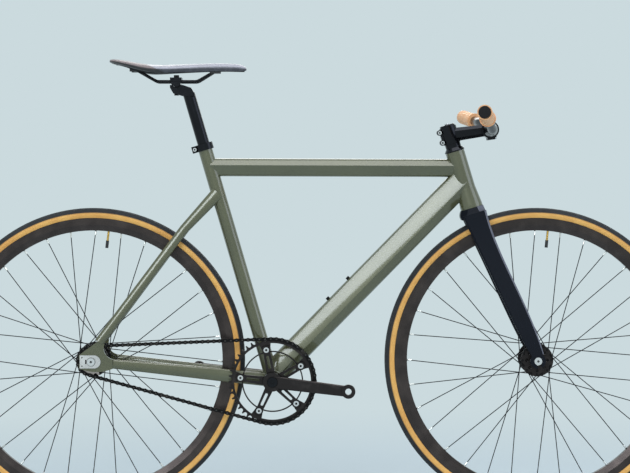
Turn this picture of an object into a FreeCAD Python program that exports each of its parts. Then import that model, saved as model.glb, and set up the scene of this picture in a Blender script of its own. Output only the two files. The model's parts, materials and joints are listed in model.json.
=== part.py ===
import FreeCAD, Part
import math
import os

# Fixed gear bicycle. Millimetres and degrees. +X is forward, +Y is the rider's left, +Z is up.
# The origin lies on the ground, midway between the two axles. The chain is on the -Y side.

V = FreeCAD.Vector

# Fits
fixed_gap = 0.03
running_gap = 0.06
body_gap = 0.4

# Layout
bead_seat_radius = 311.0
tyre_height = 29.0
tyre_radius = bead_seat_radius + tyre_height
front_centre_run = 591.2
bottom_bracket_drop = 46.2
seat_angle = 73.73
head_angle = 73.1
fork_rake = 39.1
crown_clearance = 28.0
axle_to_head_tube = tyre_radius + crown_clearance

# Chain and sprockets
chain_pitch = 12.7
tyre_to_crank_axis = 60.0
chainring_teeth = 47
cog_teeth = 16
chain_line = 42.0
roller_radius = 3.875
roller_seat_radius = 4.1
roller_seat_half_angle = 65.0
tooth_height = 3.2
tooth_tip_half_width = 1.2
sprocket_thickness = 3.0
chain_inner_width = 3.4
chain_plate_thickness = 1.1
chain_plate_gap = 0.1
chain_plate_radius = 4.2
chain_plate_waist = 3.0
chain_pin_radius = 1.8
chain_pin_overhang = 0.4
chain_bore_radius = 2.0
spread_rounds = 50

# Frame tubes
head_tube_length = 131.0
head_tube_top_radius = 21.5
head_tube_bottom_radius = 25.5
head_tube_flare_start = 6.0
head_tube_flare_end = 46.0
head_tube_bore = 17.0
seat_tube_length = 543.0
seat_tube_radius = 15.9
seat_tube_slot_length = 30.0
seat_tube_slot_width = 2.5
shell_radius = 23.0
shell_width = 68.0
shell_bore = 17.4
tube_wall = 1.8
top_tube_height = 40.0
top_tube_width = 36.0
top_tube_crease = 0.37
top_tube_on_seat_tube = 497.0
top_tube_on_head_tube = 92.3
down_tube_height = 59.0
down_tube_width = 44.0
down_tube_crease = 0.64
down_tube_on_head_tube = 64.7
down_tube_above_shell_centre = 7.65
tube_crown = 4.0
tube_top_share = 0.55
tube_bottom_share = 0.5

# Stays and rear dropouts
chain_stay_height_rear = 21.0
chain_stay_drop_rear = 5.0
chain_stay_height_front = 29.0
chain_stay_thickness = 15.0
chain_stay_shell_y = 22.0
chain_stay_bend_y = 29.0
chain_stay_bend_run = 120.0
seat_stay_height = 21.0
seat_stay_top_height = 29.0
seat_stay_thickness = 14.0
seat_stay_foot_forward = 17.2
seat_stay_foot_height = 43.0
seat_stay_bend_back = 197.0
seat_stay_bend_height = 340.0
seat_stay_bend_y = 27.0
seat_stay_top_y = 12.5
seat_stay_on_seat_tube = 437.8
stay_wall = 1.5
rear_spacing = 120.0
dropout_thickness = 6.0
dropout_rear = 27.0
dropout_front = 48.0
dropout_below = 22.0
dropout_stay_height = 51.0
dropout_stay_back = 13.0
dropout_neck_share = 0.8
dropout_neck_drop = 0.9
dropout_hollow_share = 0.6
dropout_hollow_height = 23.2
axle_plate_length = 46.0
axle_plate_height = 29.0
axle_plate_rear = 25.0
axle_plate_thickness = 2.5
axle_plate_slot_back = 11.5
axle_plate_slot_width = 3.0
axle_plate_slot_height = 9.5
axle_plate_screw_radius = 1.6
axle_plate_screw_inset = 5.0

# Bottle cage screws on the down tube
bottle_screw_spacing = 64.0
bottle_screw_place = 217.4
bottle_screw_radius = 4.2
bottle_screw_height = 5.0
bottle_thread_radius = 2.4
bottle_thread_length = 12.0

# Headset and steering
steerer_radius = 14.3
steerer_bore = 11.3
steerer_below_stem = 3.0
lower_bearing_radius = 20.5
lower_bearing_height = 7.5
upper_bearing_radius = 18.5
upper_bearing_height = 6.5
crown_race_height = 1.5
crown_race_radius = 18.0
crown_drop = 0.6
cover_height = 9.0
cover_base_radius = 22.5
cover_top_radius = 17.5
spacer_height = 9.5
spacer_radius = 17.5
stem_clamp_height = 39.0
stem_clamp_radius = 19.0
stem_length = 90.0
stem_droop = 9.0
stem_root_half_height = 15.5
stem_root_half_width = 15.0
stem_tip_half_height = 13.0
stem_bevel = 0.5
stem_tip_half_width = 17.0
bar_clamp_radius = 19.5
bar_clamp_width = 42.0
faceplate_gap = 1.2
faceplate_bolt_radius = 2.0
faceplate_bolt_y = 14.0
faceplate_bolt_offset = 19.0
faceplate_bolt_depth = 9.0
faceplate_bolt_head_radius = 3.5
faceplate_bolt_head_length = 3.5
faceplate_ear_front = 8.5
faceplate_ear_radius = 3.9
pinch_bolt_radius = 2.5
pinch_bolt_head_radius = 4.2
pinch_bolt_head_length = 4.5
pinch_bolt_hex = 4.0
pinch_bolt_back = 21.2
pinch_bolt_spread = 23.4
pinch_slot_width = 2.5
pinch_boss_radius = 6.2
pinch_ear_half_width = 10.0
top_cap_radius = 17.0
top_cap_bevel = 1.5
top_cap_height = 4.5
top_cap_bolt_radius = 3.0
top_cap_bolt_head_radius = 5.0
top_cap_bolt_head_height = 3.0
top_cap_bolt_length = 34.0
star_nut_depth = 30.0
star_nut_height = 7.0

# Handlebar
bar_centre_radius = 15.9
bar_radius = 11.1
bar_wall = 2.2
bar_half_width = 300.0
bar_centre_half = 30.0
bar_taper_half = 52.0
bar_taper_step = 0.4
bar_rise_start = 66.0
bar_rise_end = 118.0
bar_rise = 17.0
bar_rise_setback = 12.0
bar_backsweep = 7.6
bar_upsweep = 5.0
bar_bend_radius = 45.0
grip_length = 130.0
grip_radius = 16.2
grip_shoulder_radius = 18.0
grip_shoulder_length = 5.0
plug_radius = 13.4
plug_thickness = 4.0
plug_depth = 20.0

# Fork
front_spacing = 100.0
crown_front = 26.5
crown_rear = 31.0
crown_height = 21.0
crown_top_bevel = 0.58
crown_waist_share = 0.55
crown_waist_width = 0.94
crown_waist_bevel = 0.5
crown_foot_bevel = 0.35
blade_inner_gap = 17.5
blade_bevel = 0.28
blade_root_share = 0.6
blade_top_share = 0.21
blade_middle_share = 0.5
blade_low_share = 0.8
blade_tip_share = 0.97
blade_root_depth = 54.0
blade_top_depth = 45.0
blade_middle_depth = 41.0
blade_low_depth = 37.5
blade_tip_depth = 27.0
blade_lead = 3.5
blade_top_thickness = 15.0
blade_low_thickness = 11.5
blade_sweep_start = 0.17
blade_sweep_end = 0.95
fork_tip_radius = 17.0
fork_tip_thickness = 7.0
fork_slot_width = 9.4

# Wheels
rim_flange_height = 6.5
rim_bed_depth = 2.0
rim_shoulder_depth = 8.0
rim_depth = 21.5
rim_flange_radius = bead_seat_radius + rim_flange_height
rim_bed_radius = bead_seat_radius - rim_bed_depth
rim_shoulder_radius = bead_seat_radius - rim_shoulder_depth
rim_apex_radius = bead_seat_radius - rim_depth
bead_shelf_width = 3.0
rim_bed_slope = 1.0
rim_half_width = 11.75
rim_inner_half_width = 8.5
rim_apex_half_width = 6.5
rim_wall = 1.3
rim_apex_wall = 2.2
tyre_half_width = 14.0
tyre_casing = 2.0
tyre_bead_width = 2.6
tyre_hook_gap = 0.5
tube_section_radius = 11.7
tube_rubber = 1.0
valve_radius = 2.4
valve_length = 60.0
valve_cap_radius = 3.5
valve_cap_length = 17.0
valve_cap_overhang = 3.0
valve_hole_gap = 0.4
valve_hole_past = 2.0
front_valve_angle = 84.7
rear_valve_angle = 83.2
spoke_count = 32
spoke_holes_before_valve = 7.5
spoke_crossings = 3
spoke_radius = 1.0
spoke_head_radius = 1.9
spoke_head_height = 1.0
spoke_hole_gap = 0.25
spoke_face_gap = 0.1
spoke_outer_lift = 1.5
nipple_radius = 2.0
nipple_length = 13.0
nipple_head_radius = 2.9
nipple_head_height = 2.2
nipple_head_lift = 0.8
nipple_bore_depth = 9.0
spoke_end_gap = 1.0
nipple_hole_inside = 6.0
nipple_hole_outside = 3.0
spoke_circle_radius = 32.0

# Hubs
flange_radius = 36.5
flange_thickness = 3.0
front_flange_y = 33.0
rear_flange_y = 30.5
hub_body_radius = 14.0
hub_bore = 9.5
flange_window_count = 8
flange_window_radius = 4.0
flange_window_circle = 23.0
front_axle_radius = 4.5
rear_axle_radius = 5.0
hub_bearing_radius = 11.5
hub_bearing_width = 8.0
hub_end_length = 5.0
locknut_radius = 8.0
axle_bolt_radius = 8.5
axle_bolt_height = 6.0
rear_bolt_height = 3.5
axle_bolt_hex = 5.0
axle_bolt_hex_depth = 2.5
axle_bolt_thread_radius = 3.0
axle_bolt_thread_length = 18.0
cog_thread_radius = 17.3
lockring_radius = 21.5
lockring_thickness = 4.0
lockring_notches = 4
lockring_notch_radius = 2.4

# Crankset
crank_length = 170.0
crank_angle = -6.87
crank_boss_radius = 21.0
left_boss_radius = 17.0
crank_boss_outer = 61.0
square_inset = 1.5
spindle_ring_gap = 0.5
crank_arm_root_width = 28.0
crank_arm_tip_width = 23.5
crank_arm_bevel = 0.35
crank_arm_thickness = 12.5
crank_tip_outer = 72.0
crank_end_radius = 15.5
pedal_thread_radius = 7.14
spider_arms = 5
bolt_circle_radius = 72.0
spider_thickness = 5.5
spider_root_width = 20.0
spider_tip_width = 15.0
spider_slot_width = 6.0
spider_slot_start = 32.0
spider_slot_end = 56.0
spider_end_radius = 9.5
chainring_inner_radius = 85.7
chainring_hoop_radius = 67.0
chainring_hoop_width = 3.0
chainring_tab_width = 26.0
chainring_bolt_radius = 5.0
chainring_bolt_head_radius = 6.0
chainring_bolt_head_height = 1.4
chainring_bolt_hex = 5.0
spindle_radius = 8.5
spindle_square = 12.6
crank_bolt_radius = 4.0
crank_bolt_length = 18.0
crank_cap_radius = 11.0
crank_cap_height = 3.0
crank_bolt_hex = 8.0
cup_flange_radius = 21.5
cup_flange_width = 3.0
cup_depth = 20.0
cup_bore = 14.0
bottom_bracket_bearing_width = 7.0

# Seatpost and saddle
seatpost_radius = 13.6
seatpost_wall = 2.4
seatpost_solid_top = 30.0
seatpost_bottom = 330.0
seatpost_top = 668.0
collar_radius = 20.0
collar_height = 15.0
collar_rise = 9.0
collar_ear_back = 28.6
collar_ear_half_width = 9.0
collar_bolt_radius = 2.5
collar_bolt_head_radius = 4.0
collar_bolt_head_length = 4.0
collar_bolt_hex = 4.0
post_head_margin = 2.0
post_head_foot = 5.0
post_head_front_cut = 8.0
post_head_top_share = 0.6
post_head_waist_share = 0.55
post_head_back_share = 1.1
saddle_setback = 27.8
rail_rise = 27.0
rail_radius = 3.5
rail_half_spacing = 22.0
cradle_radius = 12.0
cradle_gap = 0.3
rail_bend_radius = 18.0
rail_flat_rear = 42.5
rail_flat_front = 47.5
rail_rear_end = 90.0
rail_front_end = 87.0
rail_rear_rise = 27.2
rail_front_rise = 23.6
rail_rear_spread = 30.0
rail_front_spread = 7.0
post_head_half_width = 15.0
post_head_depth = 26.0
clamp_half_length = 13.0
clamp_half_width = 28.0
clamp_cap_height = 9.0
clamp_split = 0.4
clamp_bolt_radius = 3.0
clamp_bolt_head_radius = 5.0
clamp_bolt_head_height = 4.5
clamp_nut_radius = 6.0
clamp_nut_height = 6.0
clamp_bolt_seat = 26.0
clamp_tilt = 10.0
saddle_rear = 147.0
saddle_nose = 157.0
saddle_wing_half = 70.0
saddle_waist_half = 27.0
saddle_nose_half = 17.0
saddle_rear_top = 51.0
saddle_dip_top = 37.5
saddle_nose_top = 42.0
saddle_wing_bottom = 18.0
saddle_nose_bottom = 22.5
saddle_recess = 9.0
saddle_recess_share = 0.45
saddle_skirt_share = 0.86
saddle_belly_share = 0.4
saddle_shoulder_share = 0.76
saddle_shoulder_width = 0.84
saddle_base_gap = 0.4
saddle_base_thickness = 3.5
saddle_base_share = 0.72
saddle_socket_half_length = 12.0
saddle_socket_half_width = 7.0
saddle_socket_depth = 5.0

tiny = 1e-6

# How far a cutting shape runs past the face that it cuts
past = 1.0


# Helpers

def cylinder(radius, start, end):
    axis = end - start
    return Part.makeCylinder(radius, axis.Length, start, axis)


def across(radius, centre, low, high):
    """Cylinder along Y, from low to high as counted from centre."""
    return cylinder(radius, centre + V(0, low, 0), centre + V(0, high, 0))


def pipe(outer, inner, start, end):
    return cylinder(outer, start, end).cut(cylinder(inner, start, end))


def box(low, high):
    size = high - low
    return Part.makeBox(size.x, size.y, size.z, low)


def placed(shape, placement):
    moved = shape.copy()
    moved.Placement = placement.multiply(moved.Placement)
    return moved


def turned_about_y(shape, centre, angle):
    """Turn a copy about the Y direction through centre, +X towards +Z for positive angles."""
    moved = shape.copy()
    moved.rotate(centre, V(0, 1, 0), -angle)
    return moved


def mirrored(shape):
    """The same piece on the other side of the bicycle's middle plane."""
    return shape.mirror(V(0, 0, 0), V(0, 1, 0))


def outline(steps, lift):
    """Closed wire. A step is a point (line) or a pair of points (arc through the first to the second)."""
    edges = []
    start = lift(*steps[0])
    here = start
    for step in steps[1:]:
        if isinstance(step[0], tuple):
            there = lift(*step[1])
            edges.append(Part.Arc(here, lift(*step[0]), there).toShape())
        else:
            there = lift(*step)
            edges.append(Part.LineSegment(here, there).toShape())
        here = there
    if (here - start).Length > tiny:
        edges.append(Part.LineSegment(here, start).toShape())
    return Part.Wire(edges)


def wheel_turned(steps, centre):
    """Solid of revolution about the Y line through centre, from (radius, y) steps."""
    wire = outline(steps, lambda radius, y: centre + V(radius, y, 0))
    return Part.Face(wire).revolve(centre, V(0, 1, 0), 360)


def post_turned(steps):
    """Solid of revolution about the local Z axis, from (radius, z) steps."""
    wire = outline(steps, lambda radius, z: V(radius, 0, z))
    return Part.Face(wire).revolve(V(0, 0, 0), V(0, 0, 1), 360)


def side_prism(steps, y_low, y_high, origin):
    """Prism across the bicycle, from (x, z) steps measured from origin."""
    wire = outline(steps, lambda x, z: V(origin.x + x, y_low, origin.z + z))
    return Part.Face(wire).extrude(V(0, y_high - y_low, 0))


def oval(centre, along, half_height, half_thickness):
    """Ellipse square to a direction, its long axis near the bicycle's middle plane."""
    normal = V(along).normalize()
    side = V(0, 1, 0) - normal * normal.y
    side.normalize()
    up = normal.cross(side)
    if half_height >= half_thickness:
        curve = Part.Ellipse(centre + up * half_height, centre + side * half_thickness, centre)
    else:
        curve = Part.Ellipse(centre + side * half_thickness, centre + up * half_height, centre)
    return Part.Wire(curve.toShape())


def loft(wires, ruled=False):
    return Part.makeLoft(wires, True, ruled)


def largest(shape):
    return max(shape.Solids, key=lambda solid: solid.Volume)


def hexagon_prism(across_flats, start, end):
    """Hexagonal prism along Y between two points."""
    reach = across_flats / math.sqrt(3)
    corners = []
    for index in range(7):
        angle = math.radians(60 * index)
        corners.append(start + V(reach * math.cos(angle), 0, reach * math.sin(angle)))
    return Part.Face(Part.makePolygon(corners)).extrude(end - start)


def rounded_path(points, radius):
    """Wire of straight runs joined by tangent arcs."""
    edges = []
    here = points[0]
    for before, corner, after in zip(points, points[1:], points[2:]):
        back = (before - corner).normalize()
        onward = (after - corner).normalize()
        half = back.getAngle(onward) / 2
        reach = radius / math.tan(half)
        centre_way = (back + onward).normalize()
        middle = corner + centre_way * (radius / math.sin(half) - radius)
        edges.append(Part.LineSegment(here, corner + back * reach).toShape())
        edges.append(Part.Arc(corner + back * reach, middle, corner + onward * reach).toShape())
        here = corner + onward * reach
    edges.append(Part.LineSegment(here, points[-1]).toShape())
    return Part.Wire(edges)


def rod(path, radius):
    """Round rod along a wire."""
    start = path.OrderedVertexes[0].Point
    first = path.OrderedEdges[0]
    way = (first.lastVertex(True).Point - first.firstVertex(True).Point).normalize()
    circle = Part.Wire(Part.Circle(start, way, radius).toShape())
    return Part.Solid(path.makePipeShell([circle], True, False))


# Layout points

def pitch_radius(teeth):
    return chain_pitch / (2 * math.sin(math.pi / teeth))


def chain_wrap_length(spread):
    """Chain length on the two sprockets when the straight runs lean by the angle spread."""
    per_radian = chain_pitch / (2 * math.pi)
    on_ring = chainring_teeth * per_radian * (math.pi + 2 * spread)
    on_cog = cog_teeth * per_radian * (math.pi - 2 * spread)
    return on_ring + on_cog


def link_count(centre_distance):
    """Fewest links, counted in pairs, for sprockets at least this far apart."""
    step = (chainring_teeth - cog_teeth) / (2 * math.pi)
    links = 2 * centre_distance / chain_pitch + (chainring_teeth + cog_teeth) / 2
    links += step ** 2 * chain_pitch / centre_distance
    return 2 * math.ceil(links / 2)


chain_links = link_count(tyre_radius + tyre_to_crank_axis)
ring_pitch_radius = pitch_radius(chainring_teeth)
cog_pitch_radius = pitch_radius(cog_teeth)
pitch_radius_step = ring_pitch_radius - cog_pitch_radius
chain_spread = 0.0
for _ in range(spread_rounds):
    straight_run = (chain_links * chain_pitch - chain_wrap_length(chain_spread)) / 2
    chain_spread = math.atan2(pitch_radius_step, straight_run)
chain_stay_length = math.hypot(straight_run, pitch_radius_step)

rear_centre_run = math.sqrt(chain_stay_length ** 2 - bottom_bracket_drop ** 2)
wheelbase = rear_centre_run + front_centre_run
rear_axle = V(-wheelbase / 2, 0, tyre_radius)
front_axle = V(wheelbase / 2, 0, tyre_radius)
crank_axis = V(rear_axle.x + rear_centre_run, 0, tyre_radius - bottom_bracket_drop)

seat_place = FreeCAD.Placement(crank_axis, FreeCAD.Rotation(V(0, 1, 0), seat_angle - 90))
head_turn = FreeCAD.Rotation(V(0, 1, 0), head_angle - 90)
head_bottom = front_axle + head_turn.multVec(V(-fork_rake, 0, axle_to_head_tube))
head_place = FreeCAD.Placement(head_bottom, head_turn)


def on_seat_tube(height):
    return seat_place.multVec(V(0, 0, height))


def on_head_tube(height):
    return head_place.multVec(V(0, 0, height))


# Frame

def formed_section(centre, along, height, width, crease):
    """Hydroformed tube section: crowned top and bottom, flanks folded along a crease."""
    forward = V(along).normalize()
    up = V(-forward.z, 0, forward.x)
    top = height / 2
    fold = top - crease * height
    side = width / 2
    steps = [
        (-side * tube_top_share, top - tube_crown),
        ((0, top), (side * tube_top_share, top - tube_crown)),
        (side, fold),
        (side * tube_bottom_share, tube_crown - top),
        ((0, -top), (-side * tube_bottom_share, tube_crown - top)),
        (-side, fold),
    ]
    return outline(steps, lambda across, rise: centre + up * rise + V(0, across, 0))


def formed_tube(start, end, height, width, crease):
    along = end - start
    shells = []
    for wall in (0, tube_wall):
        tall = height - 2 * wall
        wide = width - 2 * wall
        wires = [formed_section(point, along, tall, wide, crease) for point in (start, end)]
        shells.append(loft(wires, True))
    return shells[0].cut(shells[1])


def head_tube_body():
    return post_turned([
        (0, 0),
        (head_tube_bottom_radius, 0),
        (head_tube_bottom_radius, head_tube_flare_start),
        (head_tube_top_radius, head_tube_flare_end),
        (head_tube_top_radius, head_tube_length),
        (0, head_tube_length),
    ])


head_tube_solid = placed(head_tube_body(), head_place)
seat_tube_solid = cylinder(seat_tube_radius, crank_axis, on_seat_tube(seat_tube_length))
shell_solid = across(shell_radius, crank_axis, -shell_width / 2, shell_width / 2)


def head_tube():
    seat_bottom = crown_race_height + lower_bearing_height
    seat_top = head_tube_length - upper_bearing_height
    bore = post_turned([
        (0, -1),
        (lower_bearing_radius, -1),
        (lower_bearing_radius, seat_bottom),
        (head_tube_bore, seat_bottom),
        (head_tube_bore, seat_top),
        (upper_bearing_radius, seat_top),
        (upper_bearing_radius, head_tube_length + past),
        (0, head_tube_length + past),
    ])
    return head_tube_solid.cut(placed(bore, head_place))


def seat_tube():
    bore = seatpost_radius + running_gap
    hollow = cylinder(bore, crank_axis, on_seat_tube(seat_tube_length + past))
    slot = Part.makeBox(
        2 * seat_tube_radius,
        seat_tube_slot_width,
        seat_tube_slot_length + past,
        V(-2 * seat_tube_radius, -seat_tube_slot_width / 2, seat_tube_length - seat_tube_slot_length),
    )
    return largest(seat_tube_solid.cut([hollow, shell_solid, placed(slot, seat_place)]))


top_tube_start = on_seat_tube(top_tube_on_seat_tube)
top_tube_end = on_head_tube(top_tube_on_head_tube)


def top_tube():
    body = formed_tube(top_tube_start, top_tube_end, top_tube_height, top_tube_width, top_tube_crease)
    return largest(body.cut([seat_tube_solid, head_tube_solid]))


def down_tube_line():
    """Centre line of the down tube: it meets the head tube's axis and passes beside the crank axis."""
    end = on_head_tube(down_tube_on_head_tube)
    reach = end - crank_axis
    lean = math.asin(down_tube_above_shell_centre / reach.Length)
    angle = math.atan2(reach.z, reach.x) - lean
    along = V(math.cos(angle), 0, math.sin(angle))
    start = end - along * (reach.Length * math.cos(lean) - shell_radius / 2)
    return start, end, along


down_tube_start, down_tube_end, down_tube_way = down_tube_line()
down_tube_up = V(-down_tube_way.z, 0, down_tube_way.x)


def bottle_screw_points():
    """Where the two screws meet the down tube's upper face, counted from the crank axis."""
    foot = down_tube_start - down_tube_way * (shell_radius / 2)
    face = foot + down_tube_up * (down_tube_height / 2)
    places = (bottle_screw_place, bottle_screw_place + bottle_screw_spacing)
    return [face + down_tube_way * place for place in places]


def down_tube():
    body = formed_tube(down_tube_start, down_tube_end, down_tube_height, down_tube_width, down_tube_crease)
    upper_way = top_tube_end - top_tube_start
    upper = loft([
        formed_section(point, upper_way, top_tube_height, top_tube_width, top_tube_crease)
        for point in (top_tube_start, top_tube_end)
    ], True)
    bore = bottle_thread_radius + fixed_gap
    depth = down_tube_up * bottle_thread_length
    holes = [cylinder(bore, point - depth, point + down_tube_up) for point in bottle_screw_points()]
    return largest(body.cut([seat_tube_solid, head_tube_solid, shell_solid, upper] + holes))


def bottle_screws():
    screws = []
    for point in bottle_screw_points():
        head = cylinder(bottle_screw_radius, point, point + down_tube_up * bottle_screw_height)
        thread = cylinder(bottle_thread_radius, point - down_tube_up * bottle_thread_length, point)
        screws.append(head.fuse(thread))
    return Part.makeCompound(screws)


def bottom_bracket_shell():
    side = V(0, shell_width / 2, 0)
    return pipe(shell_radius, shell_bore, crank_axis - side, crank_axis + side)


# Rear triangle

dropout_inner_y = rear_spacing / 2
dropout_outer_y = dropout_inner_y + dropout_thickness
dropout_middle_y = dropout_inner_y + dropout_thickness / 2


def dropout():
    """Left track end: a plate round the axle, open to the rear, reaching up and forward to the stays."""
    half_stay = chain_stay_height_rear / 2
    stay_top = dropout_stay_height + seat_stay_height / 3
    neck = (
        dropout_stay_back + seat_stay_height * dropout_neck_share,
        stay_top - seat_stay_height * dropout_neck_drop,
    )
    hollow = (dropout_front * dropout_hollow_share, dropout_hollow_height)
    plate = side_prism([
        (-dropout_rear, -axle_plate_height / 2),
        (-dropout_rear, axle_plate_height / 2),
        (dropout_stay_back, dropout_stay_height - seat_stay_height / 3),
        neck,
        (hollow, (dropout_front, half_stay - chain_stay_drop_rear)),
        (dropout_front, -half_stay - chain_stay_drop_rear),
        ((0, -dropout_below), (-dropout_rear, -axle_plate_height / 2)),
    ], dropout_inner_y, dropout_outer_y, rear_axle)
    slot_half = rear_axle_radius + running_gap
    slot = box(
        rear_axle + V(-dropout_rear - past, dropout_inner_y - past, -slot_half),
        rear_axle + V(0, dropout_outer_y + past, slot_half),
    )
    end = across(slot_half, rear_axle, dropout_inner_y - past, dropout_outer_y + past)
    return plate.cut([slot, end])


def hollow_stay(points, heights, thickness):
    """Oval tube through points, each section square to the mean of its two runs."""
    ways = []
    runs = [after - before for before, after in zip(points, points[1:])]
    for before, after in zip([runs[0]] + runs, runs + [runs[-1]]):
        ways.append(V(before).normalize() + V(after).normalize())
    shells = []
    for wall in (0, stay_wall):
        wires = [
            oval(point, way, height / 2 - wall, thickness / 2 - wall)
            for point, way, height in zip(points, ways, heights)
        ]
        shells.append(loft(wires, True))
    return shells[0].cut(shells[1])


def chain_stay():
    """Left chain stay, from the shell past the tyre to the dropout's front edge."""
    rear = rear_axle + V(dropout_front, dropout_middle_y, -chain_stay_drop_rear)
    front = crank_axis + V(0, chain_stay_shell_y, 0)
    way = rear - front
    bend = front + way * (chain_stay_bend_run / way.Length)
    bend.y = chain_stay_bend_y
    body = hollow_stay(
        [front, bend, rear],
        [chain_stay_height_front, chain_stay_height_front, chain_stay_height_rear],
        chain_stay_thickness,
    )
    return largest(body.cut([shell_solid, seat_tube_solid, dropout()]))


def seat_stay():
    """Left seat stay, from the dropout's top, past the tyre, to the back of the seat tube."""
    foot = rear_axle + V(seat_stay_foot_forward, dropout_middle_y, seat_stay_foot_height)
    bend = crank_axis + V(-seat_stay_bend_back, seat_stay_bend_y, seat_stay_bend_height)
    top = on_seat_tube(seat_stay_on_seat_tube) + V(0, seat_stay_top_y, 0)
    heights = [seat_stay_height, seat_stay_height, seat_stay_top_height]
    body = hollow_stay([foot, bend, top], heights, seat_stay_thickness)
    return largest(body.cut([seat_tube_solid, dropout()]))


def axle_plate():
    """Left silver plate over the track end: round in front, flat behind, with the axle bolt's hole."""
    half = axle_plate_height / 2
    front = axle_plate_length - axle_plate_rear
    inner = dropout_outer_y
    outer = inner + axle_plate_thickness
    plate = side_prism([
        (-axle_plate_rear, -half),
        (-axle_plate_rear, half),
        (front - half, half),
        ((front, 0), (front - half, -half)),
    ], inner, outer, rear_axle)
    cuts = [across(rear_axle_radius + running_gap, rear_axle, inner - past, outer + past)]
    half_width = axle_plate_slot_width / 2
    half_height = axle_plate_slot_height / 2
    cuts.append(box(
        rear_axle + V(-axle_plate_slot_back - half_width, inner - past, -half_height),
        rear_axle + V(half_width - axle_plate_slot_back, outer + past, half_height),
    ))
    inset = axle_plate_screw_inset
    for rise in (inset - half, half - inset):
        place = rear_axle + V(inset - axle_plate_rear, 0, rise)
        cuts.append(across(axle_plate_screw_radius, place, inner - past, outer + past))
    return plate.cut(cuts)


# Headset

cover_bottom = head_tube_length + body_gap
cover_top = cover_bottom + cover_height
spacer_top = cover_top + spacer_height
stem_clamp_middle = spacer_top + stem_clamp_height / 2
stem_clamp_top = spacer_top + stem_clamp_height
steerer_top = stem_clamp_top - steerer_below_stem


def ring_on_head(outer, inner, low, high):
    return pipe(outer, inner, on_head_tube(low), on_head_tube(high))


def headset_bearings():
    inner = steerer_radius + running_gap
    lower = ring_on_head(
        lower_bearing_radius - fixed_gap,
        inner,
        crown_race_height + running_gap,
        crown_race_height + lower_bearing_height,
    )
    upper = ring_on_head(
        upper_bearing_radius - fixed_gap,
        inner,
        head_tube_length - upper_bearing_height,
        head_tube_length,
    )
    return Part.makeCompound([lower, upper])


def crown_race():
    return ring_on_head(crown_race_radius, steerer_radius + fixed_gap, -crown_drop, crown_race_height)


def headset_cover():
    cone = post_turned([
        (steerer_radius + fixed_gap, cover_bottom),
        (cover_base_radius, cover_bottom),
        (cover_base_radius, cover_bottom + cover_height / 4),
        (cover_top_radius, cover_top),
        (steerer_radius + fixed_gap, cover_top),
    ])
    return placed(cone, head_place)


def headset_spacer():
    return ring_on_head(spacer_radius, steerer_radius + fixed_gap, cover_top, spacer_top)


def star_nut():
    low = steerer_top - star_nut_depth
    bore = top_cap_bolt_radius + fixed_gap
    return ring_on_head(steerer_bore - fixed_gap, bore, low, low + star_nut_height)


def top_cap():
    low = stem_clamp_top
    high = low + top_cap_height
    cap = post_turned([
        (top_cap_bolt_radius + fixed_gap, low),
        (top_cap_radius, low),
        (top_cap_radius, high - top_cap_bevel),
        (top_cap_radius - top_cap_bevel, high),
        (top_cap_bolt_radius + fixed_gap, high),
    ])
    return placed(cap, head_place)


def top_cap_bolt():
    seat = stem_clamp_top + top_cap_height
    head_top = seat + top_cap_bolt_head_height
    head = cylinder(top_cap_bolt_head_radius, on_head_tube(seat), on_head_tube(head_top))
    shank = cylinder(top_cap_bolt_radius, on_head_tube(seat - top_cap_bolt_length), on_head_tube(seat))
    return head.fuse(shank)


# Stem

stem_turn = FreeCAD.Rotation(V(0, 1, 0), head_angle - 90 + stem_droop)
stem_start = on_head_tube(stem_clamp_middle)
bar_centre = stem_start + stem_turn.multVec(V(stem_length, 0, 0))
stem_place = FreeCAD.Placement(bar_centre, stem_turn)


def bevelled(centre, half_one, half_two, way_one, way_two, share):
    """Octagon: a rectangle with its corners cut by a share of its smaller half side."""
    cut = share * min(half_one, half_two)
    one = half_one - cut
    two = half_two - cut
    steps = [
        (-one, -half_two), (one, -half_two), (half_one, -two), (half_one, two),
        (one, half_two), (-one, half_two), (-half_one, two), (-half_one, -two),
    ]
    return outline(steps, lambda a, b: centre + way_one * a + way_two * b)


def bar_clamp_body():
    """Round clamp about the bar with four ears for its bolts, in the stem's own axes."""
    half = bar_clamp_width / 2
    body = cylinder(bar_clamp_radius, V(0, -half, 0), V(0, half, 0))
    back = V(-faceplate_bolt_depth, 0, 0)
    front = V(faceplate_ear_front, 0, 0)
    for place in faceplate_bolt_places():
        root = V(0, place.y, 0)
        low = min(place.z, 0)
        high = max(place.z, 0)
        web = box(
            root + back + V(0, -faceplate_ear_radius, low),
            root + front + V(0, faceplate_ear_radius, high),
        )
        body = body.fuse([web, cylinder(faceplate_ear_radius, place + back, place + front)])
    return body


def faceplate_bolt_places():
    return [
        V(0, side * faceplate_bolt_y, rise * faceplate_bolt_offset)
        for side in (-1, 1)
        for rise in (-1, 1)
    ]


def bar_clamp_cuts():
    half = bar_clamp_width / 2 + 1
    cuts = [cylinder(bar_centre_radius + running_gap, V(0, -half, 0), V(0, half, 0))]
    for place in faceplate_bolt_places():
        start = place - V(faceplate_bolt_depth + past, 0, 0)
        seat = place + V(faceplate_ear_front, 0, 0)
        cuts.append(cylinder(faceplate_bolt_radius + fixed_gap, start, seat + V(past, 0, 0)))
        room = faceplate_bolt_head_radius + fixed_gap
        cuts.append(cylinder(room, seat, seat + V(bar_clamp_radius, 0, 0)))
    return cuts


def front_half_space(start):
    reach = 2 * faceplate_bolt_offset
    return box(V(start, -reach, -reach), V(start + 2 * reach, reach, reach))


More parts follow.
